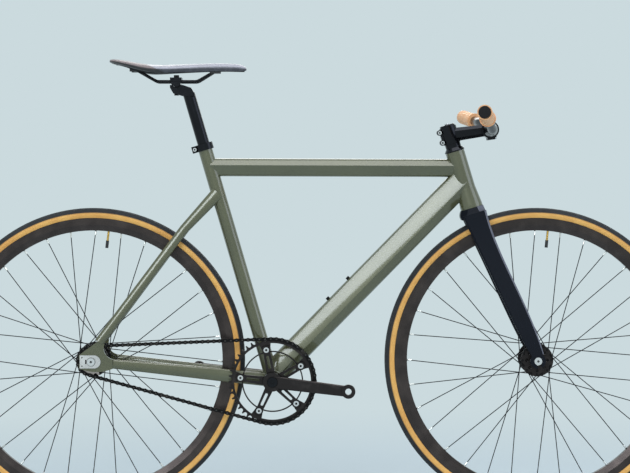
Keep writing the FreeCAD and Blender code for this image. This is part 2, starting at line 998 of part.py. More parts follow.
def stem():
    up = V(0, 0, 1)
    side = V(0, 1, 0)
    tip = V(-bar_clamp_radius / 2, 0, 0)
    arm = loft([
        bevelled(V(-stem_length, 0, 0), stem_root_half_width, stem_root_half_height, side, up, stem_bevel),
        bevelled(tip, stem_tip_half_width, stem_tip_half_height, side, up, stem_bevel),
    ], True)
    front = arm.fuse(bar_clamp_body())
    front = front.cut([front_half_space(-faceplate_gap / 2)] + bar_clamp_cuts())
    clamp = post_turned([
        (0, spacer_top),
        (stem_clamp_radius, spacer_top),
        (stem_clamp_radius, stem_clamp_top),
        (0, stem_clamp_top),
    ])
    web = box(
        V(-pinch_bolt_back, -pinch_ear_half_width, stem_clamp_middle - pinch_bolt_spread / 2),
        V(0, pinch_ear_half_width, stem_clamp_middle + pinch_bolt_spread / 2),
    )
    bosses = [cylinder(pinch_boss_radius, low, high) for low, high in pinch_bolt_lines()]
    slot = box(
        V(-2 * pinch_bolt_back, -pinch_slot_width / 2, spacer_top - past),
        V(0, pinch_slot_width / 2, stem_clamp_top + past),
    )
    body = placed(clamp.fuse([web] + bosses), head_place).fuse(placed(front, stem_place))
    bore_ends = (on_head_tube(spacer_top - past), on_head_tube(stem_clamp_top + past))
    bore = cylinder(steerer_radius + fixed_gap, *bore_ends)
    holes = [
        placed(cylinder(pinch_bolt_radius + fixed_gap, low - V(0, past, 0), high + V(0, past, 0)), head_place)
        for low, high in pinch_bolt_lines()
    ]
    return largest(body.cut([bore, placed(slot, head_place)] + holes))


def pinch_bolt_lines():
    lines = []
    for rise in (-pinch_bolt_spread / 2, pinch_bolt_spread / 2):
        middle = V(-pinch_bolt_back, 0, stem_clamp_middle + rise)
        reach = V(0, pinch_ear_half_width, 0)
        lines.append((middle - reach, middle + reach))
    return lines


def stem_pinch_bolts():
    bolts = []
    for low, high in pinch_bolt_lines():
        shank = cylinder(pinch_bolt_radius, low, high)
        top = low - V(0, pinch_bolt_head_length, 0)
        head = cylinder(pinch_bolt_head_radius, top, low)
        socket = hexagon_prism(pinch_bolt_hex, top, top + V(0, pinch_bolt_head_length / 2, 0))
        bolts.append(placed(shank.fuse(head).cut(socket), head_place))
    return bolts


def stem_faceplate():
    plate = bar_clamp_body().common(front_half_space(faceplate_gap / 2))
    return placed(largest(plate.cut(bar_clamp_cuts())), stem_place)


def stem_faceplate_bolts():
    bolts = []
    for place in faceplate_bolt_places():
        seat = place + V(faceplate_ear_front, 0, 0)
        shank = cylinder(faceplate_bolt_radius, place - V(faceplate_bolt_depth, 0, 0), seat)
        head = cylinder(faceplate_bolt_head_radius, seat, seat + V(faceplate_bolt_head_length, 0, 0))
        bolts.append(placed(shank.fuse(head), stem_place))
    return bolts


# Handlebar

def bar_points():
    """Corners of the left half, from the bar's middle to its end."""
    run = bar_half_width - bar_rise_end
    start = bar_centre + V(0, bar_rise_start, 0)
    riser = bar_centre + V(-bar_rise_setback, bar_rise_end, bar_rise)
    sweep = V(
        -run * math.tan(math.radians(bar_backsweep)),
        run,
        run * math.tan(math.radians(bar_upsweep)),
    )
    return [start, riser, riser + sweep]


def other_side(point):
    return V(point.x, -point.y, point.z)


bar_start, bar_riser, bar_end = bar_points()
bar_end_way = (bar_end - bar_riser).normalize()


def handlebar():
    left = [bar_start, bar_riser, bar_end]
    right = [other_side(point) for point in reversed(left)]
    path = rounded_path(right + left, bar_bend_radius)
    inside = bar_radius - bar_wall / 2
    taper_end = bar_radius + bar_taper_step
    centre = wheel_turned([
        (inside, -bar_taper_half),
        (taper_end, -bar_taper_half),
        (bar_centre_radius, -bar_centre_half),
        (bar_centre_radius, bar_centre_half),
        (taper_end, bar_taper_half),
        (inside, bar_taper_half),
    ], bar_centre)
    return rod(path, bar_radius).cut(rod(path, bar_radius - bar_wall)).fuse(centre)


def grip():
    inner_end = bar_end - bar_end_way * grip_length
    body = cylinder(grip_radius, inner_end, bar_end)
    shoulder = cylinder(grip_shoulder_radius, inner_end, inner_end + bar_end_way * grip_shoulder_length)
    bore = cylinder(bar_radius + fixed_gap, inner_end - bar_end_way, bar_end + bar_end_way)
    return body.fuse(shoulder).cut(bore)


def bar_plug():
    stub = cylinder(bar_radius - bar_wall - fixed_gap, bar_end - bar_end_way * plug_depth, bar_end)
    cap = cylinder(plug_radius, bar_end, bar_end + bar_end_way * plug_thickness)
    return cap.fuse(stub)


# Fork

def blade_section(share, depth, thickness):
    """Section of the left blade at a share of the way from the head tube to the axle."""
    sweep = (share - blade_sweep_start) / (blade_sweep_end - blade_sweep_start)
    sweep = min(max(sweep, 0), 1)
    inner = blade_inner_gap + sweep * (front_spacing / 2 - blade_inner_gap)
    lead = blade_lead * min(share / blade_top_share, 1)
    centre = V(sweep * fork_rake + lead, inner + thickness / 2, -share * axle_to_head_tube)
    return bevelled(centre, depth / 2, thickness / 2, V(1, 0, 0), V(0, 1, 0), 2 * blade_bevel)


def blade():
    crown_share = crown_height / axle_to_head_tube
    middle_thickness = (blade_top_thickness + blade_low_thickness) / 2
    body = loft([
        blade_section(crown_share * blade_root_share, blade_root_depth, blade_top_thickness),
        blade_section(blade_top_share, blade_top_depth, blade_top_thickness),
        blade_section(blade_middle_share, blade_middle_depth, middle_thickness),
        blade_section(blade_low_share, blade_low_depth, blade_low_thickness),
        blade_section(blade_tip_share, blade_tip_depth, fork_tip_thickness),
    ])
    axle = V(fork_rake, front_spacing / 2, -axle_to_head_tube)
    tip = cylinder(fork_tip_radius, axle, axle + V(0, fork_tip_thickness, 0))
    half = fork_slot_width / 2
    slot = box(axle - V(half, 1, 2 * fork_tip_radius), axle + V(half, fork_tip_thickness + past, 0))
    seat = cylinder(half, axle - V(0, 1, 0), axle + V(0, fork_tip_thickness + past, 0))
    return body.fuse(tip).cut([slot, seat])


def crown():
    outer = blade_inner_gap + blade_top_thickness
    depth = (crown_front + crown_rear) / 2
    middle = (crown_front - crown_rear) / 2
    waist = V(middle, 0, -crown_height * crown_waist_share)
    ahead = V(1, 0, 0)
    side = V(0, 1, 0)
    top_half = head_tube_bottom_radius
    return loft([
        bevelled(V(0, 0, -crown_drop), top_half, top_half, ahead, side, crown_top_bevel),
        bevelled(waist, depth, outer * crown_waist_width, ahead, side, crown_waist_bevel),
        bevelled(V(middle / 2, 0, -crown_height), depth, outer, ahead, side, crown_foot_bevel),
    ])


def fork():
    steerer = cylinder(steerer_radius, V(0, 0, -crown_drop - 2), V(0, 0, steerer_top))
    bore = cylinder(steerer_bore, V(0, 0, 0), V(0, 0, steerer_top + past))
    left = blade()
    body = crown().fuse([steerer, left, mirrored(left)]).cut(bore)
    return placed(body, head_place)


# Wheels

def rim(centre, valve_angle, hole_cutters):
    """Deep hollow rim with a hooked tyre bed, nipple holes and a valve hole."""
    shoulder = rim_half_width - rim_wall / 2
    bed_half = rim_inner_half_width - bead_shelf_width
    floor_half = bed_half - rim_bed_slope
    body = wheel_turned([
        (rim_apex_radius, -rim_apex_half_width),
        (rim_apex_radius, rim_apex_half_width),
        (rim_shoulder_radius, shoulder),
        (rim_flange_radius, rim_half_width),
        (rim_flange_radius, rim_inner_half_width),
        (bead_seat_radius, rim_inner_half_width),
        (bead_seat_radius, bed_half),
        (rim_bed_radius, floor_half),
        (rim_bed_radius, -floor_half),
        (bead_seat_radius, -bed_half),
        (bead_seat_radius, -rim_inner_half_width),
        (rim_flange_radius, -rim_inner_half_width),
        (rim_flange_radius, -rim_half_width),
        (rim_shoulder_radius, -shoulder),
    ], centre)
    chamber = wheel_turned([
        (rim_apex_radius + rim_apex_wall, rim_wall - rim_apex_half_width),
        (rim_apex_radius + rim_apex_wall, rim_apex_half_width - rim_wall),
        (rim_shoulder_radius, shoulder - rim_wall),
        (rim_bed_radius - rim_wall, shoulder - rim_wall),
        (rim_bed_radius - rim_wall, rim_wall - shoulder),
        (rim_shoulder_radius, rim_wall - shoulder),
    ], centre)
    way = V(math.cos(math.radians(valve_angle)), 0, math.sin(math.radians(valve_angle)))
    valve_hole = cylinder(
        valve_radius + valve_hole_gap,
        centre + way * (rim_apex_radius - valve_hole_past),
        centre + way * (bead_seat_radius + valve_hole_past),
    )
    return body.cut([chamber, valve_hole] + hole_cutters)


def tyre(centre):
    """Clincher tyre: round tread and sidewalls, beads inside the rim's flanges."""
    middle = tyre_radius - tyre_half_width
    hook = rim_flange_radius + tyre_hook_gap
    hook_half = math.sqrt(tyre_half_width ** 2 - (middle - hook) ** 2)
    bead_half = rim_inner_half_width - fixed_gap
    bead_low = bead_seat_radius + fixed_gap
    bead_in = bead_half - tyre_bead_width
    inner = tyre_half_width - tyre_casing
    mouth = middle - math.sqrt(inner ** 2 - bead_in ** 2)
    shoulder = tyre_half_width / math.sqrt(2)
    return wheel_turned([
        (bead_low, bead_half),
        (hook, bead_half),
        (hook, hook_half),
        ((middle + shoulder, shoulder), (tyre_radius, 0)),
        ((middle + shoulder, -shoulder), (hook, -hook_half)),
        (hook, -bead_half),
        (bead_low, -bead_half),
        (bead_low, -bead_in),
        (mouth, -bead_in),
        ((middle + inner, 0), (mouth, bead_in)),
        (bead_low, bead_in),
    ], centre)


def inner_tube(centre, valve_angle):
    """Inflated tube with its valve stem, and the loose cap on the stem's end."""
    middle = tyre_radius - tyre_half_width
    outside = Part.makeTorus(middle, tube_section_radius, centre, V(0, 1, 0))
    inside = Part.makeTorus(middle, tube_section_radius - tube_rubber, centre, V(0, 1, 0))
    way = V(math.cos(math.radians(valve_angle)), 0, math.sin(math.radians(valve_angle)))
    root = middle - tube_section_radius + tube_rubber / 2
    tip = root - valve_length
    stem_solid = cylinder(valve_radius, centre + way * tip, centre + way * root)
    cap_tip = tip - valve_cap_overhang
    cap_base = cap_tip + valve_cap_length
    cap = cylinder(valve_cap_radius, centre + way * cap_tip, centre + way * cap_base)
    cap = cap.cut(cylinder(valve_radius + fixed_gap, centre + way * tip, centre + way * root))
    return Part.makeCompound([outside.cut(inside).fuse(stem_solid), cap])


def spoke_lines(centre, flange_y, phase):
    """Hub point, rim point, face side and flange side of one spoke of each of the four kinds."""
    step = 720.0 / spoke_count
    seat = rim_apex_radius + rim_apex_wall
    lines = []
    for side in (-1, 1):
        for parity in (0, 1):
            hub_angle = phase + step * parity + (step / 2 if side > 0 else 0)
            lean = step * spoke_crossings * (1 if parity == 0 else -1)
            face = -1 if parity == 0 else 1
            lift = spoke_radius + (spoke_face_gap if face < 0 else spoke_outer_lift)
            y = side * (flange_y + face * (flange_thickness / 2 + lift))
            hub = centre + polar(spoke_circle_radius, hub_angle) + V(0, y, 0)
            rim_point = centre + polar(seat, hub_angle + lean)
            lines.append((hub, rim_point, face, side))
    return lines


def polar(radius, angle):
    return V(radius * math.cos(math.radians(angle)), 0, radius * math.sin(math.radians(angle)))


def all_round(shape, centre, copies):
    return [turned_about_y(shape, centre, 360.0 * index / copies) for index in range(copies)]


def wheel_phase(valve_angle):
    """Turn of the spoke pattern that puts the valve midway between two rim holes."""
    hole_step = 360.0 / spoke_count
    return valve_angle - hole_step * spoke_holes_before_valve


def spokes(centre, flange_y, valve_angle):
    made = []
    for hub, rim_point, face, side in spoke_lines(centre, flange_y, wheel_phase(valve_angle)):
        way = (rim_point - hub).normalize()
        end = rim_point - way * (nipple_length - nipple_bore_depth + spoke_end_gap)
        blade_rod = cylinder(spoke_radius, hub, end)
        far_face = side * (flange_y - face * flange_thickness / 2)
        through = V(hub.x, far_face, hub.z)
        head_end = through - V(0, side * face * spoke_head_height, 0)
        elbow = cylinder(spoke_radius, hub, through).fuse(cylinder(spoke_head_radius, through, head_end))
        corner = Part.makeSphere(spoke_radius, hub)
        made += all_round(blade_rod.fuse([elbow, corner]), centre, spoke_count // 4)
    return Part.makeCompound(made)


def nipples(centre, flange_y, valve_angle):
    made = []
    for hub, rim_point, face, side in spoke_lines(centre, flange_y, wheel_phase(valve_angle)):
        way = (rim_point - hub).normalize()
        start = rim_point - way * nipple_length
        body = cylinder(nipple_radius, start, rim_point)
        head_seat = rim_point + way * nipple_head_lift
        head = cylinder(nipple_head_radius, head_seat, head_seat + way * nipple_head_height)
        neck = cylinder(nipple_radius, rim_point, head_seat)
        bore = cylinder(spoke_radius + fixed_gap, start - way, start + way * nipple_bore_depth)
        made += all_round(body.fuse([neck, head]).cut(bore), centre, spoke_count // 4)
    return Part.makeCompound(made)


def nipple_holes(centre, flange_y, valve_angle):
    made = []
    for hub, rim_point, face, side in spoke_lines(centre, flange_y, wheel_phase(valve_angle)):
        way = (rim_point - hub).normalize()
        start = rim_point - way * nipple_hole_inside
        end = rim_point + way * nipple_hole_outside
        hole = cylinder(nipple_radius + fixed_gap, start, end)
        made += all_round(hole, centre, spoke_count // 4)
    return made


def hub_holes(centre, flange_y, valve_angle):
    """Spoke holes and lightening windows of both flanges."""
    cuts = []
    for hub, rim_point, face, side in spoke_lines(centre, flange_y, wheel_phase(valve_angle)):
        low = V(hub.x, side * (flange_y - flange_thickness), hub.z)
        high = V(hub.x, side * (flange_y + flange_thickness), hub.z)
        cuts += all_round(cylinder(spoke_radius + spoke_hole_gap, low, high), centre, spoke_count // 4)
    for side in (-1, 1):
        middle = centre + V(flange_window_circle, side * flange_y, 0)
        window = across(flange_window_radius, middle, -flange_thickness, flange_thickness)
        cuts += all_round(window, centre, flange_window_count)
    return cuts


front_hub_end = front_flange_y + flange_thickness / 2 + hub_end_length
rear_hub_left = rear_flange_y + flange_thickness / 2 + hub_end_length
rear_hub_right = chain_line + sprocket_thickness / 2 + lockring_thickness


def hub_shell(centre, flange_y, right_end, left_end, right_radius, valve_angle):
    """Two-flange hub shell with a bearing seat in each end."""
    inside = flange_y - flange_thickness / 2
    outside = flange_y + flange_thickness / 2
    seat_right = right_end - hub_bearing_width
    seat_left = left_end - hub_bearing_width
    shell = wheel_turned([
        (hub_bearing_radius, -right_end),
        (right_radius, -right_end),
        (right_radius, -outside),
        (flange_radius, -outside),
        (flange_radius, -inside),
        (hub_body_radius, -inside),
        (hub_body_radius, inside),
        (flange_radius, inside),
        (flange_radius, outside),
        (hub_body_radius, outside),
        (hub_body_radius, left_end),
        (hub_bearing_radius, left_end),
        (hub_bearing_radius, seat_left),
        (hub_bore, seat_left),
        (hub_bore, -seat_right),
        (hub_bearing_radius, -seat_right),
    ], centre)
    return shell.cut(hub_holes(centre, flange_y, valve_angle))


def hub_bearings(centre, axle_radius, right_end, left_end):
    outer = hub_bearing_radius - fixed_gap
    inner = axle_radius + running_gap
    right = pipe(outer, inner, centre - V(0, right_end, 0), centre - V(0, right_end - hub_bearing_width, 0))
    left = pipe(outer, inner, centre + V(0, left_end - hub_bearing_width, 0), centre + V(0, left_end, 0))
    return Part.makeCompound([right, left])


def axle(centre, radius, reach, spacing, right_end, left_end):
    """Axle with a locknut between each bearing and its dropout, drilled for the end bolts."""
    body = cylinder(radius, centre - V(0, reach, 0), centre + V(0, reach, 0))
    half = spacing / 2
    locknuts = [
        cylinder(locknut_radius, centre - V(0, half, 0), centre - V(0, right_end + body_gap, 0)),
        cylinder(locknut_radius, centre + V(0, left_end + body_gap, 0), centre + V(0, half, 0)),
    ]
    bore = axle_bolt_thread_radius + fixed_gap
    depth = axle_bolt_thread_length + 1
    holes = [
        cylinder(bore, centre - V(0, reach + past, 0), centre - V(0, reach - depth, 0)),
        cylinder(bore, centre + V(0, reach - depth, 0), centre + V(0, reach + past, 0)),
    ]
    return body.fuse(locknuts).cut(holes)


def axle_bolts(centre, seat, height):
    """Flanged end bolts, heads against the seat planes on both sides."""
    head = cylinder(axle_bolt_radius, centre + V(0, seat, 0), centre + V(0, seat + height, 0))
    shank = across(axle_bolt_thread_radius, centre, seat - axle_bolt_thread_length, seat)
    deep = seat + height - axle_bolt_hex_depth
    socket = hexagon_prism(axle_bolt_hex, centre + V(0, deep, 0), centre + V(0, seat + height + past, 0))
    left = head.fuse(shank).cut(socket)
    return Part.makeCompound([left, mirrored(left)])


# Sprockets and chain

chain_back = V(-rear_centre_run, 0, bottom_bracket_drop) * (1 / chain_stay_length)
chain_rise = V(chain_back.z, 0, -chain_back.x)
chain_plane = V(0, -chain_line, 0)
upper_contact = math.pi / 2 - chain_spread
ring_wrap = math.pi + 2 * chain_spread
cog_wrap = math.pi - 2 * chain_spread
ring_wrap_length = chainring_teeth * chain_pitch * ring_wrap / (2 * math.pi)
cog_wrap_length = cog_teeth * chain_pitch * cog_wrap / (2 * math.pi)
cog_arc_start = ring_wrap_length + straight_run


def round_point(centre, radius, turn):
    """Point on a pitch circle, its turn counted from the line that runs back to the rear axle."""
    back = chain_back * (radius * math.cos(turn))
    rise = chain_rise * (radius * math.sin(turn))
    return centre + back + rise + chain_plane


def chain_point(length):
    """Pin centre at a length along the chain, from the top of the chainring forward and round."""
    if length < ring_wrap_length:
        turn = upper_contact + ring_wrap * length / ring_wrap_length
        return round_point(crank_axis, ring_pitch_radius, turn)
    if length < cog_arc_start:
        share = (length - ring_wrap_length) / straight_run
        start = round_point(crank_axis, ring_pitch_radius, -upper_contact)
        return start + (round_point(rear_axle, cog_pitch_radius, -upper_contact) - start) * share
    if length < cog_arc_start + cog_wrap_length:
        turn = -upper_contact + cog_wrap * (length - cog_arc_start) / cog_wrap_length
        return round_point(rear_axle, cog_pitch_radius, turn)
    share = (length - cog_arc_start - cog_wrap_length) / straight_run
    start = round_point(rear_axle, cog_pitch_radius, upper_contact)
    return start + (round_point(crank_axis, ring_pitch_radius, upper_contact) - start) * share


def cog_first_turn():
    """Turn of the first pin that lies on the cog."""
    length = math.ceil(cog_arc_start / chain_pitch) * chain_pitch
    return -upper_contact + cog_wrap * (length - cog_arc_start) / cog_wrap_length


def toothed_disc(centre, teeth, first_turn):
    """Sprocket blank in the chain's plane, with a roller seat at first_turn."""
    radius = pitch_radius(teeth)
    seat_angle_rad = math.radians(roller_seat_half_angle)
    flank_x = roller_seat_radius * math.sin(seat_angle_rad)
    flank_r = radius - roller_seat_radius * math.cos(seat_angle_rad)
    tip_r = radius + tooth_height
    tooth_step = 2 * math.pi / teeth
    tip_turn = tooth_step / 2 - math.atan2(tooth_tip_half_width, tip_r)
    flank_turn = math.atan2(flank_x, flank_r)
    flank_reach = math.hypot(flank_x, flank_r)
    steps = []
    for index in range(teeth):
        gap = first_turn + index * tooth_step
        steps.append((flank_reach, gap - flank_turn))
        steps.append(((radius - roller_seat_radius, gap), (flank_reach, gap + flank_turn)))
        steps.append((tip_r, gap + tip_turn))
        steps.append((tip_r, gap + tooth_step - tip_turn))
    low = V(0, -sprocket_thickness / 2, 0)
    wire = outline(steps, lambda reach, turn: round_point(centre, reach, turn) + low)
    return Part.Face(wire).extrude(V(0, sprocket_thickness, 0))


def cog():
    disc = toothed_disc(rear_axle, cog_teeth, cog_first_turn())
    bore = cylinder(cog_thread_radius + fixed_gap, rear_axle - V(0, 60, 0), rear_axle)
    return disc.cut(bore)


def lockring():
    inner_y = chain_line + sprocket_thickness / 2
    outer_y = inner_y + lockring_thickness
    body = pipe(
        lockring_radius,
        cog_thread_radius + fixed_gap,
        rear_axle - V(0, outer_y, 0),
        rear_axle - V(0, inner_y, 0),
    )
    edge = rear_axle + V(lockring_radius, 0, 0)
    notch = cylinder(lockring_notch_radius, edge - V(0, outer_y + past, 0), edge - V(0, inner_y - past, 0))
    return body.cut(all_round(notch, rear_axle, lockring_notches))


def link_plate(y_low, bore):
    """One chain plate along +X from the first pin, waisted between its round ends."""
    near_x = chain_plate_radius * 0.5
    near_z = chain_plate_radius * math.sqrt(0.75)
    far_x = chain_pitch - near_x
    plate = side_prism([
        (near_x, near_z),
        ((-chain_plate_radius, 0), (near_x, -near_z)),
        ((chain_pitch / 2, -chain_plate_waist), (far_x, -near_z)),
        ((chain_pitch + chain_plate_radius, 0), (far_x, near_z)),
        ((chain_pitch / 2, chain_plate_waist), (near_x, near_z)),
    ], y_low, y_low + chain_plate_thickness, V(0, 0, 0))
    if bore:
        for x in (0, chain_pitch):
            hole = across(bore, V(x, y_low, 0), -past, chain_plate_thickness + past)
            plate = plate.cut(hole)
    return plate


inner_plate_y = chain_inner_width / 2
outer_plate_y = inner_plate_y + chain_plate_thickness + chain_plate_gap
chain_half_width = outer_plate_y + chain_plate_thickness


def inner_link():
    near = link_plate(-inner_plate_y - chain_plate_thickness, chain_bore_radius)
    far = link_plate(inner_plate_y, chain_bore_radius)
    rollers = [
        pipe(roller_radius, chain_bore_radius, V(x, -inner_plate_y, 0), V(x, inner_plate_y, 0))
        for x in (0, chain_pitch)
    ]
    return near.fuse([far] + rollers)


def outer_link():
    near = link_plate(-chain_half_width, None)
    far = link_plate(outer_plate_y, None)
    reach = chain_half_width + chain_pin_overhang
    pins = [cylinder(chain_pin_radius, V(x, -reach, 0), V(x, reach, 0)) for x in (0, chain_pitch)]
    return near.fuse([far] + pins)


def chain_run(link, first):
    """Every second link of the chain, starting with the given one."""
    made = []
    for index in range(first, chain_links, 2):
        start = chain_point(index * chain_pitch)
        end = chain_point((index + 1) % chain_links * chain_pitch)
        way = end - start
        angle = -math.degrees(math.atan2(way.z, way.x))
        middle = (start + end) * 0.5
        turn = FreeCAD.Rotation(V(0, 1, 0), angle)
        made.append(placed(link, FreeCAD.Placement(middle - turn.multVec(V(chain_pitch / 2, 0, 0)), turn)))
    return Part.makeCompound(made)


# Crankset

ring_outer_y = chain_line + sprocket_thickness / 2
ring_inner_y = chain_line - sprocket_thickness / 2
spider_outer_y = ring_outer_y + spider_thickness
spider_step = 360.0 / spider_arms
square_outer_y = crank_boss_outer - square_inset


def crank_turned(shape):
    return turned_about_y(shape, crank_axis, crank_angle)


def spider_points():
    """Chainring bolt centres, the crank arm lying midway between two of them."""
    return [
        crank_axis + polar(bolt_circle_radius, crank_angle + spider_step * (index + 0.5))
        for index in range(spider_arms)
    ]


def crank_arm():
    """Arm, end boss and pedal thread of the left crank before it is turned, along +X."""
    low_root = crank_boss_outer - crank_arm_thickness
    low_tip = crank_tip_outer - crank_arm_thickness
    half = crank_arm_thickness / 2
    up = V(0, 0, 1)
    side = V(0, 1, 0)
    root = crank_axis + V(0, low_root + half, 0)
    tip = crank_axis + V(crank_length, low_tip + half, 0)
    arm = loft([
        bevelled(root, half, crank_arm_root_width / 2, side, up, crank_arm_bevel),
        bevelled(tip, half, crank_arm_tip_width / 2, side, up, crank_arm_bevel),
    ], True)
    end = crank_axis + V(crank_length, 0, 0)
    boss = cylinder(crank_end_radius, end + V(0, low_tip, 0), end + V(0, crank_tip_outer, 0))
    thread = cylinder(pedal_thread_radius, end + V(0, low_tip - 1, 0), end + V(0, crank_tip_outer + 1, 0))
    face = crank_axis + V(0, crank_boss_outer, 0)
    cap_room = cylinder(crank_cap_radius + body_gap, face, face + V(0, crank_cap_height, 0))
    return arm.fuse(boss).cut([thread, cap_room])


def square_hole():
    half = spindle_square / 2 + fixed_gap
    reach = 2 * crank_boss_outer
    return box(crank_axis + V(-half, -reach, -half), crank_axis + V(half, reach, half))


def left_crank():
    boss = across(left_boss_radius, crank_axis, ring_outer_y, crank_boss_outer)
    body = crank_arm().fuse(boss).cut(square_hole())
    return turned_about_y(body, crank_axis, crank_angle + 180)


def spider_arm():
    """One spider arm along +X with its slot, before it is turned into place."""
    root = spider_root_width / 2
    tip = spider_tip_width / 2
    arm = side_prism([
        (0, -root),
        (bolt_circle_radius, -tip),
        (bolt_circle_radius, tip),
        (0, root),
    ], -spider_outer_y, -ring_outer_y, crank_axis)
    end = crank_axis + V(bolt_circle_radius, 0, 0)
    pad = cylinder(spider_end_radius, end - V(0, spider_outer_y, 0), end - V(0, ring_outer_y, 0))
    half = spider_slot_width / 2
    slot = side_prism([
        (spider_slot_start, -half),
        (spider_slot_end, -half),
        ((spider_slot_end + half, 0), (spider_slot_end, half)),
        (spider_slot_start, half),
        ((spider_slot_start - half, 0), (spider_slot_start, -half)),
    ], -spider_outer_y - past, 1 - ring_outer_y, crank_axis)
    return arm.fuse(pad).cut(slot)


def chainring_bolt_holes():
    return [
        across(chainring_bolt_radius + fixed_gap, point, -spider_outer_y - past, past - ring_inner_y)
        for point in spider_points()
    ]


def right_crank():
    boss = across(crank_boss_radius, crank_axis, -crank_boss_outer, -ring_outer_y)
    arm = crank_turned(mirrored(crank_arm()))
    arms = [
        turned_about_y(spider_arm(), crank_axis, crank_angle + spider_step * (index + 0.5))
        for index in range(spider_arms)
    ]
    body = boss.fuse([arm] + arms)
    return body.cut([crank_turned(square_hole())] + chainring_bolt_holes())


def chainring():
    disc = toothed_disc(crank_axis, chainring_teeth, upper_contact)
    low = crank_axis - V(0, ring_outer_y, 0)
    high = crank_axis - V(0, ring_inner_y, 0)
    opening = cylinder(chainring_inner_radius, low - V(0, past, 0), high + V(0, past, 0))
    half_hoop = chainring_hoop_width / 2
    hoop = pipe(chainring_hoop_radius + half_hoop, chainring_hoop_radius - half_hoop, low, high)
    half_tab = chainring_tab_width / 2
    inner_half = spider_tip_width / 2
    tab = side_prism([
        (chainring_hoop_radius - half_hoop, -inner_half),
        (chainring_inner_radius + 1, -half_tab),
        (chainring_inner_radius + 1, half_tab),
        (chainring_hoop_radius - half_hoop, inner_half),
    ], -ring_outer_y, -ring_inner_y, crank_axis)
    tabs = [
        turned_about_y(tab, crank_axis, crank_angle + spider_step * (index + 0.5))
        for index in range(spider_arms)
    ]
    return disc.cut(opening).fuse([hoop] + tabs).cut(chainring_bolt_holes())


def chainring_bolts():
    """Each bolt with its nut behind the ring, as one sleeve with a head on both faces."""
    bolts = []
    for point in spider_points():
        outer = point - V(0, spider_outer_y, 0)
        inner = point - V(0, ring_inner_y, 0)
        rim_height = V(0, chainring_bolt_head_height, 0)
        sleeve = cylinder(chainring_bolt_radius, outer, inner)
        heads = [
            cylinder(chainring_bolt_head_radius, outer - rim_height, outer),
            cylinder(chainring_bolt_head_radius, inner, inner + rim_height),
        ]
        socket = hexagon_prism(chainring_bolt_hex, outer - rim_height * 2, outer + rim_height * 2)
        bolts.append(sleeve.fuse(heads).cut(socket))
    return Part.makeCompound(bolts)


def bottom_bracket_spindle():
    straight = ring_outer_y - spindle_ring_gap
    side = V(0, straight, 0)
    body = cylinder(spindle_radius, crank_axis - side, crank_axis + side)
    half = spindle_square / 2
    left_square = box(crank_axis + V(-half, straight, -half), crank_axis + V(half, square_outer_y, half))
    squares = [left_square, mirrored(left_square)]
    bore = crank_bolt_radius + fixed_gap
    depth = square_outer_y - crank_bolt_length
    holes = [
        cylinder(bore, crank_axis + V(0, way * depth, 0), crank_axis + V(0, way * (square_outer_y + past), 0))
        for way in (-1, 1)
    ]
    return crank_turned(body.fuse(squares).cut(holes))


def crank_bolts():
    """Bolt and its round cap on each crank's face."""
    seat = crank_axis + V(0, crank_boss_outer, 0)
    shank = cylinder(crank_bolt_radius, seat - V(0, crank_bolt_length, 0), seat)
    cap = cylinder(crank_cap_radius, seat, seat + V(0, crank_cap_height, 0))
    face = seat + V(0, crank_cap_height, 0)
    socket = hexagon_prism(crank_bolt_hex, face - V(0, crank_cap_height / 2, 0), face)
    left = cap.fuse(shank).cut(socket)
    return Part.makeCompound([left, mirrored(left)])


bearing_outer_y = shell_width / 2 - 1
bearing_inner_y = bearing_outer_y - bottom_bracket_bearing_width


def bottom_bracket_cups():
    face = shell_width / 2
    outer = shell_bore - fixed_gap
    body = pipe(outer, cup_bore, crank_axis + V(0, face - cup_depth, 0), crank_axis + V(0, face, 0))
    flange = pipe(
        cup_flange_radius,
        spindle_radius + body_gap,
        crank_axis + V(0, face, 0),
        crank_axis + V(0, face + cup_flange_width, 0),
    )
    left = body.fuse(flange)
    return [left, mirrored(left)]


def bottom_bracket_bearings():
    left = pipe(
        cup_bore - fixed_gap,
        spindle_radius + running_gap,
        crank_axis + V(0, bearing_inner_y, 0),
        crank_axis + V(0, bearing_outer_y, 0),
    )
    return [left, mirrored(left)]


# Seat collar, seatpost and saddle clamp

clamp_centre = on_seat_tube(seatpost_top) + V(-saddle_setback, 0, rail_rise)
collar_top = seat_tube_length + collar_rise
collar_bottom = collar_top - collar_height
collar_bolt_back = (seat_tube_radius + collar_ear_back) / 2


def seat_collar():
    ring = post_turned([
        (seat_tube_radius + fixed_gap, collar_bottom),
        (collar_radius, collar_bottom),
        (collar_radius, collar_top),
        (seatpost_radius + body_gap, collar_top),
        (seatpost_radius + body_gap, seat_tube_length + fixed_gap),
        (seat_tube_radius + fixed_gap, seat_tube_length + fixed_gap),
    ])
    ears = box(
        V(-collar_ear_back, -collar_ear_half_width, collar_bottom),
        V(-seat_tube_radius, collar_ear_half_width, collar_top),
    )
    hollow = cylinder(seat_tube_radius + fixed_gap, V(0, 0, collar_bottom - past), V(0, 0, collar_top + past))
    slot = box(
        V(-2 * collar_ear_back, -seat_tube_slot_width / 2, collar_bottom - past),
        V(0, seat_tube_slot_width / 2, collar_top + past),
    )
    low, high = collar_bolt_line()
    hole = cylinder(collar_bolt_radius + fixed_gap, low - V(0, past, 0), high + V(0, past, 0))
    return placed(largest(ring.fuse(ears.cut(hollow)).cut([slot, hole])), seat_place)


def collar_bolt_line():
    middle = V(-collar_bolt_back, 0, (collar_bottom + collar_top) / 2)
    reach = V(0, collar_ear_half_width, 0)
    return middle - reach, middle + reach


